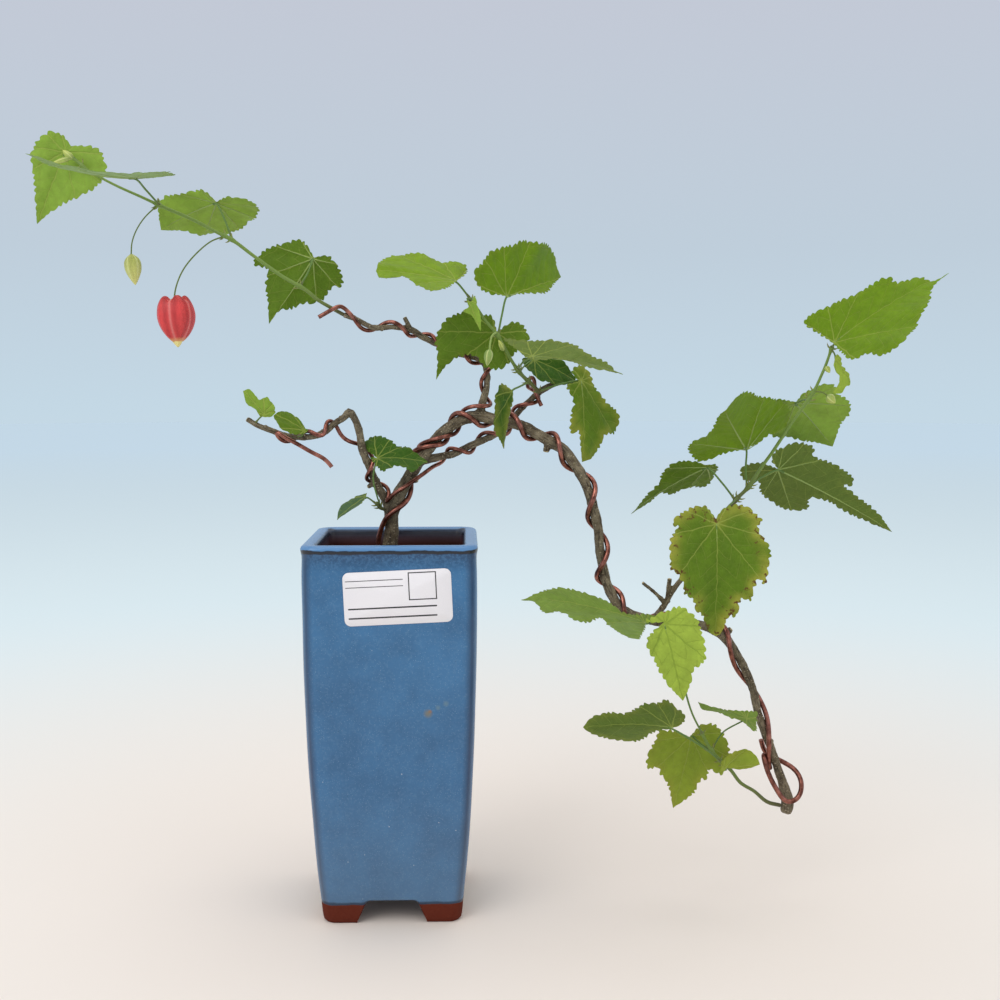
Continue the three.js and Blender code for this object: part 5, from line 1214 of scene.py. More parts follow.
def build_label():
    ex = np.array([math.cos(LABEL_TURN), 0, math.sin(LABEL_TURN)])
    out = np.array([0, -math.cos(LABEL_LEAN), -math.sin(LABEL_LEAN)])
    ey = np.cross(out, ex)

    def on_label(flat, lift):
        flat = np.asarray(flat, float)
        return np.array(LABEL_CENTRE) + flat[:, :1] * ex + flat[:, 1:2] * ey + lift * out

    def plate(width, height, corner, low, high, centre=(0, 0), turn_in=0.05):
        loops = []
        for lift, shrink in ((high, turn_in), (high - turn_in, 0), (low, 0)):
            loop = []
            for quarter in range(4):
                middle = math.pi / 4 + quarter * math.pi / 2
                sign = np.sign([math.cos(middle), math.sin(middle)])
                heart = sign * (np.array([width, height]) / 2 - corner)
                angle = quarter * math.pi / 2 + np.linspace(0, math.pi / 2, 10)
                loop.append(heart + (corner - shrink) * np.stack([np.cos(angle), np.sin(angle)], -1))
            loops.append(on_label(np.vstack(loop) + centre, lift))
        ends = [on_label([centre], high), on_label([centre], low)]
        return np.vstack(loops + ends), ring_faces(3, len(loops[0]))

    shape = Shape().add(*plate(*LABEL_SIZE, LABEL_CORNER, 0, LABEL_THICK))
    for x, y, width, height in RULED_LINES:
        shape.add(*plate(width, height, height * 0.45, *PRINT_LIFT, (x, y), 0.01), slot=1)
    for x, y, width, height in EMPTY_BOX:
        shape.add(*plate(width, height, 0.1, *PRINT_LIFT, (x, y), 0.01), slot=1)
    show("label_look", shape.mesh("label_look"), [paper_material(), ink_material()], "label", "label")


def limb_routes():
    """The wood's limbs as smooth rows of x, y, z, radius."""
    limbs = [MAIN_BRANCH, LEFT_BRANCH, LOW_BRANCH, UPPER_BRANCH, BARE_TWIG, *STUBS]
    return [smooth_line(rows, 1.2) for rows in limbs]


def shoot_routes():
    return {name: smooth_line(rows, 0.8) for name, rows in SHOOTS.items()}


def aged(limb, rng):
    """A limb with the swellings of old leaf scars."""
    rows = limb.copy()
    along = lengths(rows)
    at = rng.uniform(4, 9)
    while at < along[-1] - 3:
        rows[:, 3] += rng.uniform(0.08, 0.3) * np.exp(-((along - at) / rng.uniform(0.9, 1.6)) ** 2)
        at += rng.uniform(7, 16)
    wave = [noise.noise(Vector((a * 0.25, len(rows) * 0.37, 0))) for a in along]
    rows[:, 3] *= 1 + 0.07 * np.array(wave)
    return rows


def build_wood(sizes):
    rng = random.Random(11)
    limbs = limb_routes()
    routes = [rounded(aged(limb, rng), 0.3, 0.5 if k == 0 else 0.12) for k, limb in enumerate(limbs)]
    for limb in limbs[:5]:
        along, at = lengths(limb), rng.uniform(6, 14)
        while at < along[-1] - 4:
            k = int(np.searchsorted(along, at))
            way = unit(limb[k + 1, :3] - limb[k - 1, :3])
            out = unit(np.cross(way, [rng.uniform(-1, 1), rng.uniform(-1, 1), rng.uniform(-1, 1)]))
            reach, size = limb[k, 3] + rng.uniform(-0.1, 0.45), rng.uniform(0.55, 0.95)
            path = np.linspace(0, 1, 5)[:, None] * out * reach + limb[k, :3]
            routes.append(rounded(np.column_stack([path, np.linspace(size * 1.3, size, 5)]), 0.2, 0.6))
            at += rng.uniform(9, 22)
    points, faces, _ = bars(routes, 16)
    rough = Shape().add(points, faces).mesh("rough_wood")
    mesh = grown(rough, remesh=sizes.bark_detail)
    count = len(mesh.vertices)
    co, normal = np.empty(count * 3), np.empty(count * 3)
    mesh.vertices.foreach_get("co", co)
    mesh.vertices.foreach_get("normal", normal)
    co, normal = (co.reshape(-1, 3) - ORIGIN) / MM, normal.reshape(-1, 3)
    best = np.full(count, np.inf)
    grain = np.zeros((count, 3))
    cut = np.zeros(count)
    offset = 0
    for number, limb in enumerate(limbs):
        for part in np.array_split(np.arange(count), max(1, count // 8000)):
            near = nearest(limb[::2] if len(limb) > 6 else limb, co[part])
            apart = near["distance"] - near["radius"]
            closer = part[apart < best[part]]
            mine = apart < best[part]
            best[closer] = apart[mine]
            side = unit(np.cross(near["axis"], [0.3, 1, 0.2]))
            out = co[part] - near["at"]
            other = np.cross(near["axis"], side)
            rows = np.stack([near["along"] + offset, (out * side).sum(1), (out * other).sum(1)], -1)
            grain[closer] = rows[mine]
        end, way = limb[-1, :3], unit(limb[-1, :3] - limb[-3, :3])
        if number in CUT_LIMBS:
            rel = co - end
            flat = (rel @ way > -0.12) & (np.linalg.norm(rel, axis=1) < limb[-1, 3] * 1.05)
            cut[flat] = 1
        offset += 300
    push = np.array([0.26 * noise.noise(Vector((g[0] * 0.16, g[1] * 0.55, g[2] * 0.55)))
                     + 0.13 * noise.noise(Vector((g[0] * 0.7, g[1] * 1.5, g[2] * 1.5))) for g in grain])
    co += normal * (push * (1 - cut))[:, None]
    mesh.vertices.foreach_set("co", placed(co).ravel())
    mesh.attributes.new("grain", "FLOAT_VECTOR", "POINT").data.foreach_set("vector", grain.ravel())
    mesh.attributes.new("cut", "FLOAT", "POINT").data.foreach_set("value", cut)
    mesh.update()
    mesh.shade_smooth()
    show("wood_look", mesh, [bark_material()], "bark", "trunk")


def build_wires(sizes, colours):
    material = wire_material(colours.wire)
    limbs = limb_routes()
    main, left, low, upper = limbs[:4]
    stems = limbs + list(shoot_routes().values())
    thick, thin = sizes.thick_wire / 2 / MM, sizes.thin_wire / 2 / MM
    first = laid([MAIN_START, wound(main, MAIN_CROSSINGS, thick, 1, 0.05, 0.3), MAIN_END], thick, stems)
    third = laid([UPPER_START, wound(upper, UPPER_CROSSINGS, thin, 1, 0.35, 0.2), UPPER_END], thin, stems + [first])
    second = laid([LEFT_START, wound(left, LEFT_CROSSINGS, thin, -1, 0.05, 0.12), LEFT_CORNER,
                   wound(left, LEFT_RISE, thin, -1, 0.3, 0.05), BRIDGE,
                   wound(low, LOW_CROSSINGS, thin, 1, 0.3, 0.15), LOW_END], thin, stems + [first, third])
    for node, route in (("wire_main", first), ("wire_pair", second), ("wire_upper", third)):
        points, faces, _ = bars([smooth_line(route[::2], 0.7)], 14)
        mesh = Shape().add(points, faces).mesh(node + "_look", 60)
        show(node + "_look", mesh, [material], "copper_wire", node)


def tinted(tone, count):
    """One tone for every point, from a hex code."""
    return np.tile(np.array(linear(tone)), (count, 1))


def blend_tones(low, high, share):
    """Tones between two hex codes, by a share for each point."""
    share = np.asarray(share, float)[:, None]
    return np.array(linear(low)) * (1 - share) + np.array(linear(high)) * share


def aligned(points, top, tip):
    """Points that hang along -Z, hung from the top towards the tip instead."""
    down = unit(np.array(tip, float) - top)
    side = unit(np.cross(down, [0.1, 1, 0.05]))
    other = np.cross(side, down)
    return np.array(top, float) + points[:, :1] * side + points[:, 1:2] * other - points[:, 2:] * down


def pod(top, tip, radius, ribs=5, low="#8fa355", high="#c3c85c", pale="#d8d88f"):
    """Closed bud with ribs: points, faces and tones."""
    length = np.linalg.norm(np.array(tip, float) - top)
    share, width = np.array(POD_SHARES), np.array(POD_WIDTHS)
    fold = lambda angle: np.abs(np.sin(ribs / 2 * angle))
    points, faces, angle = lathe(np.stack([radius * width, -length * share], -1), ribs * 14,
                                 lambda a, z: 1 - 0.09 * (1 - fold(a) ** 0.6))
    angle = np.append(angle, [0, 0])
    down = np.clip(-points[:, 2] / length, 0, 1)
    tones = blend_tones(low, high, down)
    ridge = (np.exp(-((1 - fold(angle)) / 0.06) ** 2) * 0.7)[:, None]
    return aligned(points, top, tip), faces, tones * (1 - ridge) + np.array(linear(pale)) * ridge


def joint_places(name, routes):
    """Where leaves and flower stalks leave a shoot, as lengths along it."""
    starts = [leaf[0] for leaf in LEAVES.values()] + [stalk[0][:3] for stalk in FLOWER_STALKS.get(name, [])]
    near = nearest(routes[name], np.array(starts, float))
    return sorted(near["along"][near["distance"] < 2.2])


def build_shoots():
    material = skin_material("green_shoot_skin", 0.5, (1.4, 1.4, 1.4))
    rng = random.Random(23)
    routes = shoot_routes()
    for name, route in routes.items():
        shape = Shape()
        rows = route.copy()
        rows[:, 3] *= 0.8
        along = lengths(rows)
        joints = joint_places(name, routes)
        for at in joints:
            rows[:, 3] += 0.34 * np.exp(-((along - at) / 1.5) ** 2)
        points, faces, run = bars([rounded(rows, 0.4, 0.7)], 18)
        woody = np.clip(1 - run / (60 if name == "shoot_lower" else 30), 0, 1) ** 1.5
        shape.add(points, faces, tint=blend_tones("#71893a", "#55502f", woody))
        spines = []
        for at in joints:
            k = min(len(rows) - 2, max(1, int(np.searchsorted(along, at))))
            way = unit(rows[k + 1, :3] - rows[k - 1, :3])
            for turn in (0, math.pi):
                side = unit(np.cross(way, [math.sin(turn + rng.uniform(-0.6, 0.6)), math.cos(turn), 0.3]))
                t = np.linspace(0, 1, 7)[:, None]
                path = rows[k, :3] + side * (rows[k, 3] * 0.6 + t * 2.2) + way * t**2 * rng.uniform(0.8, 2.2)
                spines.append(np.column_stack([path, 0.42 * np.sin(math.pi * (0.28 + 0.7 * t[:, 0]))]))
        if spines:
            points, faces, run = bars([rounded(spine, 0.2, 1) for spine in spines], 8)
            shape.add(points, faces, tint=blend_tones("#7f9844", "#86703f", np.clip(run / 3, 0, 1)))
        stalks = [smooth_line(stalk, 0.7) for stalk in FLOWER_STALKS.get(name, [])]
        for stalk in stalks:
            stalk[:, 3] = 0.68 * stalk[:, 3] + 0.2 * np.exp(-(lengths(stalk) / 1.5) ** 2)
        if stalks:
            points, faces, _ = bars([rounded(stalk, 0.2, 0.5) for stalk in stalks], 12)
            shape.add(points, faces, tint=tinted("#66762f", len(points)))
        for top, tip, radius in SMALL_BUDS.get(name, []):
            points, faces, tones = pod(top, tip, radius)
            shape.add(points, faces, tint=tones)
        show(name + "_look", shape.mesh(name + "_look"), [material], "green_shoot", name)


def build_flowers(colours):
    crest = lambda a: np.abs(np.cos(FLOWER_RIBS / 2 * a + 1))

    def wave(a, z):
        depth = np.interp(-z, [-1, 1, 5, 14, 20], [0.02, 0.06, 0.1, 0.13, 0.2])
        return 1 - depth * crest(a) ** 0.8

    profile = smooth_line([(r, h, 0) for r, h in LANTERN_PROFILE], 0.45)[:, :2]
    points, faces, angle = lathe(profile, FLOWER_RIBS * 24, wave)
    angle = np.append(angle, [0, 0])
    reach = np.hypot(points[:, 0], points[:, 1])
    crease = np.arccos(crest(angle).clip(0, 1)) * 2 / FLOWER_RIBS * reach
    crown = np.clip(1 - np.abs(reach - 5.2) / 3.4, 0, 1) * np.clip((points[:, 2] + 3) / 3, 0, 1)
    points[:, 2] += crown * (0.9 - 2.4 * crest(angle) ** 4)
    rib = 0.75 * np.exp(-(crease / 0.55) ** 2)
    cap = np.clip((points[:, 2] + 0.8) / 1.6, 0, 1) * np.clip((4.6 - reach) / 2.5, 0, 1)
    hem = np.clip((-17.6 - points[:, 2]) / 2, 0, 1)
    tones = tinted(colours.calyx, len(points))
    # Painted shade darkens the flanks beside each crease; the same mask also darkens the calyx towards its top
    painted_fold_shade = 0.5 * np.exp(-((crease - 2.2) / 1.3) ** 2) + 0.35 * np.clip((points[:, 2] + 3) / 3, 0, 1)
    for share, code in ((painted_fold_shade, "#9c2226"), (0.6 * rib, "#e79a92"), (cap, "#a9aa55"), (hem * 0.8, "#e0b06c")):
        tones = tones * (1 - share[:, None]) + np.array(linear(code)) * share[:, None]

    def hung(points):
        c, s = math.cos(LANTERN_TURN), math.sin(LANTERN_TURN)
        x, z = points[:, 0] * c - points[:, 2] * s, points[:, 0] * s + points[:, 2] * c
        return np.stack([x, points[:, 1], z], -1) + LANTERN_TOP

    shape = Shape().add(hung(points), faces, tint=tones)
    points, faces, _ = lathe(PETALS, 80, lambda a, z: 1 + 0.12 * np.abs(np.sin(FLOWER_RIBS / 2 * a + z)))
    shape.add(hung(points), faces, slot=1, tint=tinted("#ecdb8c", len(points)))
    calyx = skin_material("calyx_skin", 0.45, (0.9, 0.9, 0.25), 0.03)
    petal = skin_material("petal_skin", 0.5, (0.9, 0.9, 0.3), 0.03)
    show("lantern_look", shape.mesh("lantern_look"), [calyx, petal], "calyx", "lantern")

    bud_skin = skin_material("bud_skin", 0.5, (1.1, 1.1, 0.35))
    points, faces, tones = pod(*YELLOW_BUD, 4, low="#a9ad55", high="#d2cd79")
    mesh = Shape().add(points, faces, tint=tones).mesh("bud_yellow_look")
    show("bud_yellow_look", mesh, [bud_skin], "bud", "bud_yellow")
    points, faces, tones = pod(*CENTRE_BUD, 2.2, low="#7f9a4c", high="#9dad5c")
    stalk, rims, _ = bars([rounded(smooth_line(CENTRE_BUD_STALK, 0.6), 0.2, 0.5)], 12)
    shape = Shape().add(points, faces, tint=tones).add(stalk, rims, tint=tinted("#8ea251", len(stalk)))
    show("bud_centre_look", shape.mesh("bud_centre_look"), [bud_skin], "bud", "bud_centre")


class Blade:
    """The curved sheet that a leaf is cut from, in millimetres across and along from the stalk's end."""

    def __init__(self, base, tip, face, fold, bend, seed):
        self.foot = np.array(base, float)
        reach = np.array(tip, float) - self.foot
        self.turn = math.radians(bend)
        self.radius = 1 / self.turn
        self.size = np.linalg.norm(reach) / (2 * self.radius * math.sin(self.turn / 2))
        self.ahead = unit(reach)
        face = np.array(face, float)
        self.up = unit(face - self.ahead * (face @ self.ahead))
        self.side = np.cross(self.ahead, self.up)
        self.lift = math.tan(math.radians(fold))
        self.seed = seed

    def at(self, u, v, layer=0.0):
        x, y = u / self.size, v / self.size
        away, turn = np.hypot(x, y), np.arctan2(u, v)
        main, rib = vein_gaps(u, v)
        puff = 0.5 * (1 - np.exp(-(main / 2) ** 2)) * np.clip(away * 4, 0, 1)
        puff += 0.2 * (1 - np.exp(-(rib / 1.1) ** 2)) * np.clip(away * 3, 0, 1)
        ruffle = 0.018 * np.sin(9 * turn) * away + 0.03 * np.sin(14 * turn + self.seed) * np.minimum(away, 0.8) ** 3
        high = self.lift * (np.hypot(x, 0.04) - 0.04) + ruffle + (puff + layer) / self.size
        angle, tilt = y * self.turn, self.turn / 2
        along = (self.radius + high) * np.sin(angle)
        over = (self.radius + high) * np.cos(angle) - self.radius
        forward = self.size * (along * math.cos(tilt) - over * math.sin(tilt))
        upward = self.size * (along * math.sin(tilt) + over * math.cos(tilt))
        return (self.foot + np.multiply.outer(u, self.side) + np.multiply.outer(forward, self.ahead)
                + np.multiply.outer(upward, self.up))

    def under(self, pixels):
        """Across and along of the blade's points that are seen at pixels of the photo."""
        goal = np.array(pixels, float)
        flat = np.tile([0.0, 0.3 * self.size], (len(goal), 1))
        for _ in range(16):
            here = seen(self.at(*flat.T))
            change = np.stack([(seen(self.at(flat[:, 0] + 0.4, flat[:, 1])) - here) / 0.4,
                               (seen(self.at(flat[:, 0], flat[:, 1] + 0.4)) - here) / 0.4], -1)
            square = np.swapaxes(change, 1, 2) @ change + 0.004 * np.eye(2)
            move = np.linalg.solve(square, np.swapaxes(change, 1, 2) @ (goal - here)[..., None])[..., 0]
            stride = np.linalg.norm(move, axis=1, keepdims=True)
            flat += move * np.minimum(1, 10 / np.maximum(stride, 1e-6))
            flat = np.clip(flat, [-0.85 * self.size, -0.6 * self.size], [0.85 * self.size, 1.15 * self.size])
        return np.roll(flat, -int(np.hypot(*flat.T).argmin()), 0)


def vein_gaps(u, v):
    """How far points of a blade are from its main veins and from the side veins, in millimetres."""
    away, turn = np.hypot(u, v), np.arctan2(u, v)
    off = (turn + SECTOR / 2) % SECTOR - SECTOR / 2
    main = away * np.abs(np.sin(off))
    rib = np.abs(((away * np.cos(off) - RIB_SLANT * main) / RIB_STEP + 0.5) % 1 - 0.5) * RIB_STEP * 0.74
    return main, rib


def plain_edge(size, widths):
    """A heart-shaped edge for a leaf whose own can't be read from the photo."""
    left, right, back = widths
    rows = []
    for degrees in [-d for d, _ in PLAIN_EDGE[::-1][:-1]] + [d for d, _ in PLAIN_EDGE[:-1]]:
        reach = np.interp(abs(degrees), *zip(*PLAIN_EDGE))
        reach *= 1 + (back - 1) * min(1, max(0, (abs(degrees) - 80) / 60))
        angle = math.radians(degrees)
        wide = left if degrees < 0 else right
        rows.append((size * reach * math.sin(angle) * wide, size * reach * math.cos(angle)))
    return np.array(rows)


def toothed(edge, size, pitch, depth):
    """The edge drawn smooth and cut into teeth that point to the tip; it starts at the stalk's end."""
    k = int(np.hypot(edge[:, 0], edge[:, 1] - size).argmin())
    halves = [smooth_line(np.column_stack([half, np.zeros(len(half))]), 0.5)[:, :2]
              for half in (edge[:k + 1][::-1], np.vstack([edge[k:], edge[:1]]))]
    whole = np.vstack([halves[0][::-1], halves[1][1:-1]])
    turned = np.roll(whole, -1, 0)
    area = (whole[:, 0] * turned[:, 1] - whole[:, 1] * turned[:, 0]).sum() / 2
    way = np.roll(whole, -1, 0) - np.roll(whole, 1, 0)
    out = unit(np.stack([way[:, 1], -way[:, 0]], -1)) * (1 if area > 0 else -1)
    gone = np.concatenate([lengths(halves[0])[::-1], lengths(halves[1])[1:-1]])
    total = np.concatenate([np.full(len(halves[0]), lengths(halves[0])[-1]),
                            np.full(len(halves[1]) - 2, lengths(halves[1])[-1])])
    wobble = 0.25 * np.sin(gone / pitch * 1.3 + size) + 0.12 * np.sin(gone / pitch * 2.9)
    fade = np.clip((total - gone) / STALK_FADE, 0, 1)
    part = (gone / total * np.maximum(3, np.round(total / pitch)) + wobble * fade) % 1
    tooth = np.where(part < TOOTH_FRONT, np.sin(part / TOOTH_FRONT * math.pi / 2),
                     np.cos((part - TOOTH_FRONT) / (1 - TOOTH_FRONT) * math.pi / 2))
    ease = fade * np.clip((gone - 2) / TIP_FADE, 0.02, 1) * (1 + 0.3 * np.sin(gone * 0.9 + size))
    whole = whole + out * ((tooth - 0.5) * depth * min(1, size / 34) * ease)[:, None]
    return whole if area > 0 else whole[::-1]


def inside(points, loop):
    """Which points lie within a closed loop, and how far all are from it."""
    a, b = loop, np.roll(loop, -1, 0)
    x, y = points[:, :1], points[:, 1:]
    crosses = (a[:, 1] > y) != (b[:, 1] > y)
    with np.errstate(divide="ignore", invalid="ignore"):
        at = a[:, 0] + (y - a[:, 1]) / (b[:, 1] - a[:, 1]) * (b[:, 0] - a[:, 0])
    within = ((x < at) & crosses).sum(1) % 2 == 1
    return within, rim_gap(points, loop)


def rim_gap(points, loop):
    """How far flat points are from a loop's own points."""
    return np.concatenate([np.sqrt(((part[:, None] - loop[None]) ** 2).sum(-1).min(1))
                           for part in np.array_split(points, max(1, len(points) // 1500))])


def sheet_mesh(loop, grid):
    """Flat points and triangles that fill a loop at an even grid."""
    low, high = loop.min(0), loop.max(0)
    rows = []
    for k, y in enumerate(np.arange(low[1], high[1], grid * 0.866)):
        x = np.arange(low[0] + (k % 2) * grid / 2, high[0], grid)
        rows.append(np.stack([x, np.full(len(x), y)], -1))
    dots = np.vstack(rows)
    within, gap = inside(dots, loop)
    dots = dots[within & (gap > grid * 0.45)]
    every = [Vector(p) for p in np.vstack([loop, dots])]
    points, _, faces, *_ = geometry.delaunay_2d_cdt(every, [], [list(range(len(loop)))], 1, 1e-4)
    return np.array([tuple(p) for p in points]), np.array([face for face in faces if len(face) == 3])


def build_leaf(name, number, stems, materials, sizes):
    start, via, base, tip, face, fold, bend, tone, yellow, spots = LEAVES[name]
    blade = Blade(base, tip, face, fold, bend, number * 1.7)
    edge = blade.under(EDGES[name]) if name in EDGES else plain_edge(blade.size, PLAIN_WIDTHS[name])
    loop = toothed(edge, blade.size, sizes.tooth_pitch / MM, sizes.tooth_depth / MM)
    flat, faces = sheet_mesh(loop, sizes.leaf_grid / MM)
    area = np.cross(flat[faces[:, 1]] - flat[faces[:, 0]], flat[faces[:, 2]] - flat[faces[:, 0]])
    faces[area < 0] = faces[area < 0][:, ::-1]
    count = len(flat)
    u, v = flat.T
    gap = rim_gap(flat, loop)
    thick = BLADE_THICK / 2 * np.clip(0.45 + gap / 2, 0, 1)
    top, below = blade.at(u, v, thick), blade.at(u, v, -thick)
    pairs = np.vstack([faces[:, [0, 1]], faces[:, [1, 2]], faces[:, [2, 0]]])
    known = set(map(tuple, pairs[:, ::-1].tolist()))
    rim = np.array([pair for pair in pairs.tolist() if tuple(pair) not in known])
    skirt = np.stack([rim[:, 1], rim[:, 0], rim[:, 0] + count, rim[:, 1] + count], -1)
    upper_seen = blade.up @ (EYE - blade.foot) > 0
    mix = lambda a, b, s: a * (1 - s) + np.array(linear(b)) * s
    seen_tone = tinted(GREENS[tone], count)
    edge_noise = np.array([noise.noise(Vector((p[0] * 0.12, p[1] * 0.12, number))) for p in flat])
    margin = np.exp(-(gap / (1.2 + 3.2 * yellow)) ** 2) * (0.25 + 0.75 * yellow)
    margin = margin * np.clip(0.6 + 1.2 * edge_noise, 0, 1)
    wide = np.clip(0.5 + 1.1 * edge_noise, 0, 1) * 0.5
    seen_tone = mix(seen_tone, "#b9b548", margin[:, None] * min(1, 0.25 + yellow))
    seen_tone = mix(seen_tone, "#3f5c1a", wide[:, None] * 0.35)
    hidden = mix(seen_tone, "#9aa86a" if upper_seen else "#4d6d20", 0.55)
    tones = (seen_tone, hidden) if upper_seen else (hidden, seen_tone)
    shape = Shape().add(
        np.vstack([top, below]), [faces, faces[:, ::-1] + count, skirt], tint=np.vstack(tones),
        under=np.concatenate([np.zeros(count), np.ones(count)]), uv=np.vstack([flat, flat]),
        lit_through=np.full(2 * count, float(name == "leaf_low_2")),
        worn=np.tile(spots * np.exp(-(gap / 9) ** 2), 2))
    ribs = []
    for k in range(-3, 4):
        turn = k * SECTOR
        ray = np.linspace(0, 1.1 * blade.size, 90)
        path = np.stack([ray * math.sin(turn), ray * math.cos(turn)], -1)
        within = np.flatnonzero(inside(path, loop)[0])
        if not len(within):
            continue
        gaps = np.flatnonzero(np.diff(within) > 1)
        reach = ray[within[gaps[0] if len(gaps) else -1]] * 0.93
        if reach < 5:
            continue
        s = np.linspace(0, reach, max(4, round(reach / 1.4)))
        thickness = (0.46 if k == 0 else 0.36) * (1 - 0.8 * s / reach) * min(1, blade.size / 38)
        ribs.append(rounded(np.column_stack([
            blade.at(s * math.sin(turn), s * math.cos(turn), -BLADE_THICK / 2 - 0.02), thickness]), 0.2, 1))
    if ribs:
        points, rims, _ = bars(ribs, 8)
        shape.add(points, rims, slot=1, tint=tinted("#8ea252", len(points)))
    small = 0.8 if blade.size < 26 else 1
    first = np.array(via[0] if via else base, float)
    route = [beside(stems, start, first), *via, blade.at(np.array(0.0), np.array(0.0), -0.45),
             blade.at(np.array(0.0), np.array(0.05 * blade.size), -0.3)]
    stalk = smooth_line([(*p, sizes.stalk / 2 / MM * small) for p in map(tuple, route)], 0.7)
    run = lengths(stalk)
    stalk[:, 3] *= 1 + 0.5 * np.exp(-((run - 0.8) / 1.2) ** 2) + 0.25 * np.exp(-((run[-1] - run) / 1.4) ** 2)
    points, rims, run = bars([rounded(stalk, 0.2, 0.8)], 14)
    shape.add(points, rims, slot=1, tint=blend_tones("#66683a", "#5d7a33", np.clip(run / 5, 0, 1)))
    show(name + "_look", shape.mesh(name + "_look", 70), materials, "leaf", name)


# ---------------------------------------------------------------- add-on

class BonsaiSizes(bpy.types.PropertyGroup):
    """Sizes that the pieces are built with"""
    thick_wire: bpy.props.FloatProperty(
        name="Thick wire", description="Thickness of the main branch's wire", default=0.0025, unit="LENGTH")
    thin_wire: bpy.props.FloatProperty(
        name="Thin wire", description="Thickness of the two lighter wires", default=0.002, unit="LENGTH")
    stalk: bpy.props.FloatProperty(
        name="Leaf stalk", description="Thickness of a leaf's stalk", default=0.00095, unit="LENGTH")
    tooth_pitch: bpy.props.FloatProperty(
        name="Tooth pitch", description="Distance between the teeth of a leaf's edge", default=0.0033,
        unit="LENGTH")
    tooth_depth: bpy.props.FloatProperty(
        name="Tooth depth", description="Depth of the teeth of a leaf's edge", default=0.00125, unit="LENGTH")
    leaf_grid: bpy.props.FloatProperty(
        name="Leaf grid", description="Distance between the points of a leaf's blade", default=0.00105,
        unit="LENGTH")
    bark_detail: bpy.props.FloatProperty(
        name="Bark detail", description="Distance between the points of the bark", default=0.00046, unit="LENGTH")
    crumb: bpy.props.FloatProperty(
        name="Soil crumb", description="Radius of a middling crumb of soil", default=0.0014, unit="LENGTH")


class BonsaiColours(bpy.types.PropertyGroup):
    """Colours that the materials are made with, as sRGB hex codes"""
    glaze: bpy.props.StringProperty(name="Glaze", description="Body of the pot's glaze", default="#3b6f9b")
    lip: bpy.props.StringProperty(name="Lip", description="Glaze on the pot's lip", default="#5685b4")
    clay: bpy.props.StringProperty(name="Clay", description="Bare clay of the feet", default="#571f12")
    wire: bpy.props.StringProperty(name="Wire", description="Coating of the wires", default="#a86e60")
    calyx: bpy.props.StringProperty(name="Calyx", description="Red of the flower", default="#da4342")
    paper_near: bpy.props.StringProperty(name="Floor", description="Studio paper near the pot", default="#ebe1d8")
    paper_far: bpy.props.StringProperty(name="Far floor", description="Studio paper far away", default="#dbeaef")


class PieceOperator:
    """Shared by the operators: builds, and fails loudly"""
    bl_options = {"REGISTER", "UNDO"}

    def execute(self, context):
        scene = context.scene
        before = len(bpy.data.objects)
        self.build(scene.bonsai_sizes, scene.bonsai_colours)
        if len(bpy.data.objects) == before:
            raise RuntimeError(self.bl_label + " built nothing")
        return {"FINISHED"}


class BONSAI_OT_pot(PieceOperator, bpy.types.Operator):
    """Builds the glazed pot"""
    bl_idname = "bonsai.pot"
    bl_label = "Pot"

    def build(self, sizes, colours):
        build_pot(colours)


class BONSAI_OT_soil(PieceOperator, bpy.types.Operator):
    """Builds the soil with its crumbs"""
    bl_idname = "bonsai.soil"
    bl_label = "Soil"

    def build(self, sizes, colours):
        build_soil(sizes)


class BONSAI_OT_label(PieceOperator, bpy.types.Operator):
    """Builds the blank label"""
    bl_idname = "bonsai.label"
    bl_label = "Label"

    def build(self, sizes, colours):
        build_label()


class BONSAI_OT_wood(PieceOperator, bpy.types.Operator):
    """Builds the trunk and its branches"""
    bl_idname = "bonsai.wood"
    bl_label = "Wood"

    def build(self, sizes, colours):
        build_wood(sizes)


class BONSAI_OT_wires(PieceOperator, bpy.types.Operator):
    """Builds the training wires"""
    bl_idname = "bonsai.wires"
    bl_label = "Wires"

    def build(self, sizes, colours):
        build_wires(sizes, colours)


class BONSAI_OT_shoots(PieceOperator, bpy.types.Operator):
    """Builds the green shoots with their stalks and small buds"""
    bl_idname = "bonsai.shoots"
    bl_label = "Shoots"

    def build(self, sizes, colours):
        build_shoots()


class BONSAI_OT_flowers(PieceOperator, bpy.types.Operator):
    """Builds the red calyx and the closed buds"""
    bl_idname = "bonsai.flowers"
    bl_label = "Flowers"

    def build(self, sizes, colours):
        build_flowers(colours)


class BONSAI_OT_leaves(PieceOperator, bpy.types.Operator):
    """Builds every leaf"""
    bl_idname = "bonsai.leaves"
    bl_label = "Leaves"

    def build(self, sizes, colours):
        stems = limb_routes() + list(shoot_routes().values())
        materials = [leaf_material(), skin_material("leaf_stalk_skin", 0.5, (1.5, 1.5, 1.5))]
        for number, name in enumerate(LEAVES):
            build_leaf(name, number, stems, materials, sizes)


class BONSAI_OT_stage(PieceOperator, bpy.types.Operator):
    """Builds the pale floor, the lights and the camera"""
    bl_idname = "bonsai.stage"
    bl_label = "Stage"

    def build(self, sizes, colours):
        build_stage(colours)


PIECES = [BONSAI_OT_pot, BONSAI_OT_soil, BONSAI_OT_label, BONSAI_OT_wood, BONSAI_OT_wires, BONSAI_OT_shoots,
          BONSAI_OT_flowers, BONSAI_OT_leaves, BONSAI_OT_stage]


class BONSAI_PT_panel(bpy.types.Panel):
    """Lists the pieces and what they are built with"""
    bl_label = "Bonsai"
    bl_space_type = "VIEW_3D"
    bl_region_type = "UI"
    bl_category = "Bonsai"

    def draw(self, context):
        for group in (context.scene.bonsai_sizes, context.scene.bonsai_colours):
            for key in group.__annotations__:
                self.layout.prop(group, key)
        for piece in PIECES:
            self.layout.operator(piece.bl_idname)


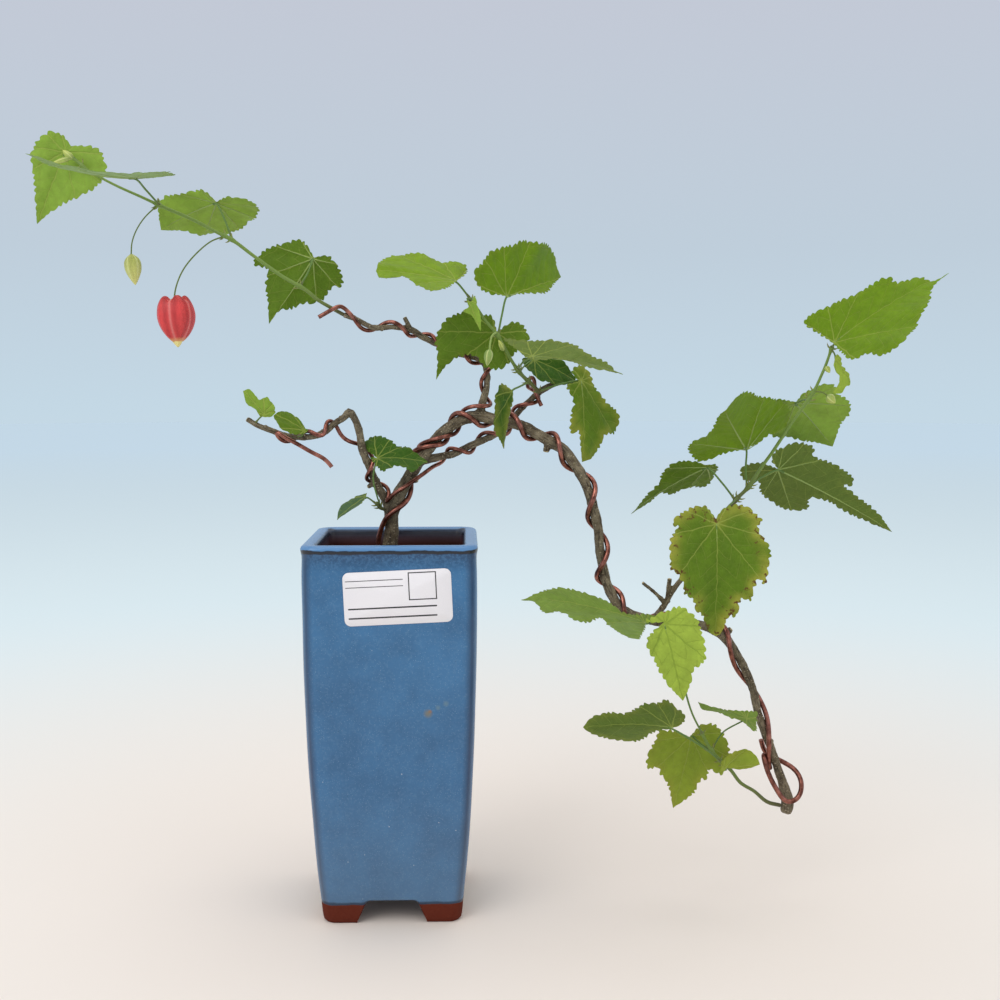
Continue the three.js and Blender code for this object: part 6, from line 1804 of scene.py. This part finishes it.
def build_stage(colours):
    angle = np.linspace(0, 2 * math.pi, FLOOR_SIDES, endpoint=False)
    rows = [(r * math.cos(a), r * math.sin(a), 0) for r in FLOOR_RINGS for a in angle]
    faces = [(r * FLOOR_SIDES + a, (r + 1) * FLOOR_SIDES + a, (r + 1) * FLOOR_SIDES + b, r * FLOOR_SIDES + b)
             for r in range(len(FLOOR_RINGS) - 1) for a, b in zip(range(FLOOR_SIDES), [*range(1, FLOOR_SIDES), 0])]
    faces.append(tuple(range(FLOOR_SIDES)))
    mesh = bpy.data.meshes.new("studio_floor")
    mesh.from_pydata(rows, [], faces)
    mesh.materials.append(stage_material(colours.paper_near, colours.paper_far))
    floor = bpy.data.objects.new("studio_floor", mesh)
    bpy.context.scene.collection.objects.link(floor)

    aim = Vector(placed([LIGHTS_AIM])[0])
    for name, (place, size, power) in LIGHTS.items():
        light = bpy.data.lights.new(name, "AREA")
        light.energy = power
        light.size = size
        lamp = bpy.data.objects.new(name, light)
        lamp.location = place
        lamp.rotation_euler = (aim - Vector(place)).to_track_quat("-Z", "Y").to_euler()
        lamp.visible_camera = False
        bpy.context.scene.collection.objects.link(lamp)
    # Even studio surroundings: pale warm low down, pale blue at eye level, near white overhead
    world = bpy.data.worlds.new("studio")
    world.use_nodes = True
    tree = world.node_tree
    around = put(tree, "TexCoord").outputs["Generated"]
    rise = put(tree, "SeparateXYZ", {0: around}).outputs["Z"]
    ramp = put(tree, "ValToRGB", {0: put(tree, "MapRange", {0: rise, 1: -1, 2: 1})})
    for height, code in SKY[1:-1]:
        ramp.color_ramp.elements.new((height + 1) / 2).color = linear(code)
    ramp.color_ramp.elements[0].color = linear(SKY[0][1])
    ramp.color_ramp.elements[-1].color = linear(SKY[-1][1])
    tree.links.new(ramp.outputs[0], tree.nodes["Background"].inputs["Color"])
    bpy.context.scene.world = world
    bpy.context.scene.view_settings.view_transform = "Standard"

    camera = bpy.data.cameras.new("camera")
    camera.sensor_width = 36
    camera.lens = 36 * FOCAL_PX / PHOTO_PX
    camera.clip_start, camera.clip_end = 0.01, 20
    viewer = bpy.data.objects.new("camera", camera)
    viewer.location = placed([EYE])[0]
    viewer.rotation_euler = (math.pi / 2 + PITCH, 0, YAW)
    bpy.context.scene.collection.objects.link(viewer)
    bpy.context.scene.camera = viewer


def register():
    for kind in [BonsaiSizes, BonsaiColours, BONSAI_PT_panel] + PIECES:
        bpy.utils.register_class(kind)
    bpy.types.Scene.bonsai_sizes = bpy.props.PointerProperty(type=BonsaiSizes)
    bpy.types.Scene.bonsai_colours = bpy.props.PointerProperty(type=BonsaiColours)


def unregister():
    del bpy.types.Scene.bonsai_sizes
    del bpy.types.Scene.bonsai_colours
    for kind in [BonsaiSizes, BonsaiColours, BONSAI_PT_panel] + PIECES:
        bpy.utils.unregister_class(kind)


def main():
    register()
    for piece in PIECES:
        group, name = piece.bl_idname.split(".")
        getattr(getattr(bpy.ops, group), name)()
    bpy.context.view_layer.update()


if __name__ == "__main__":
    main()
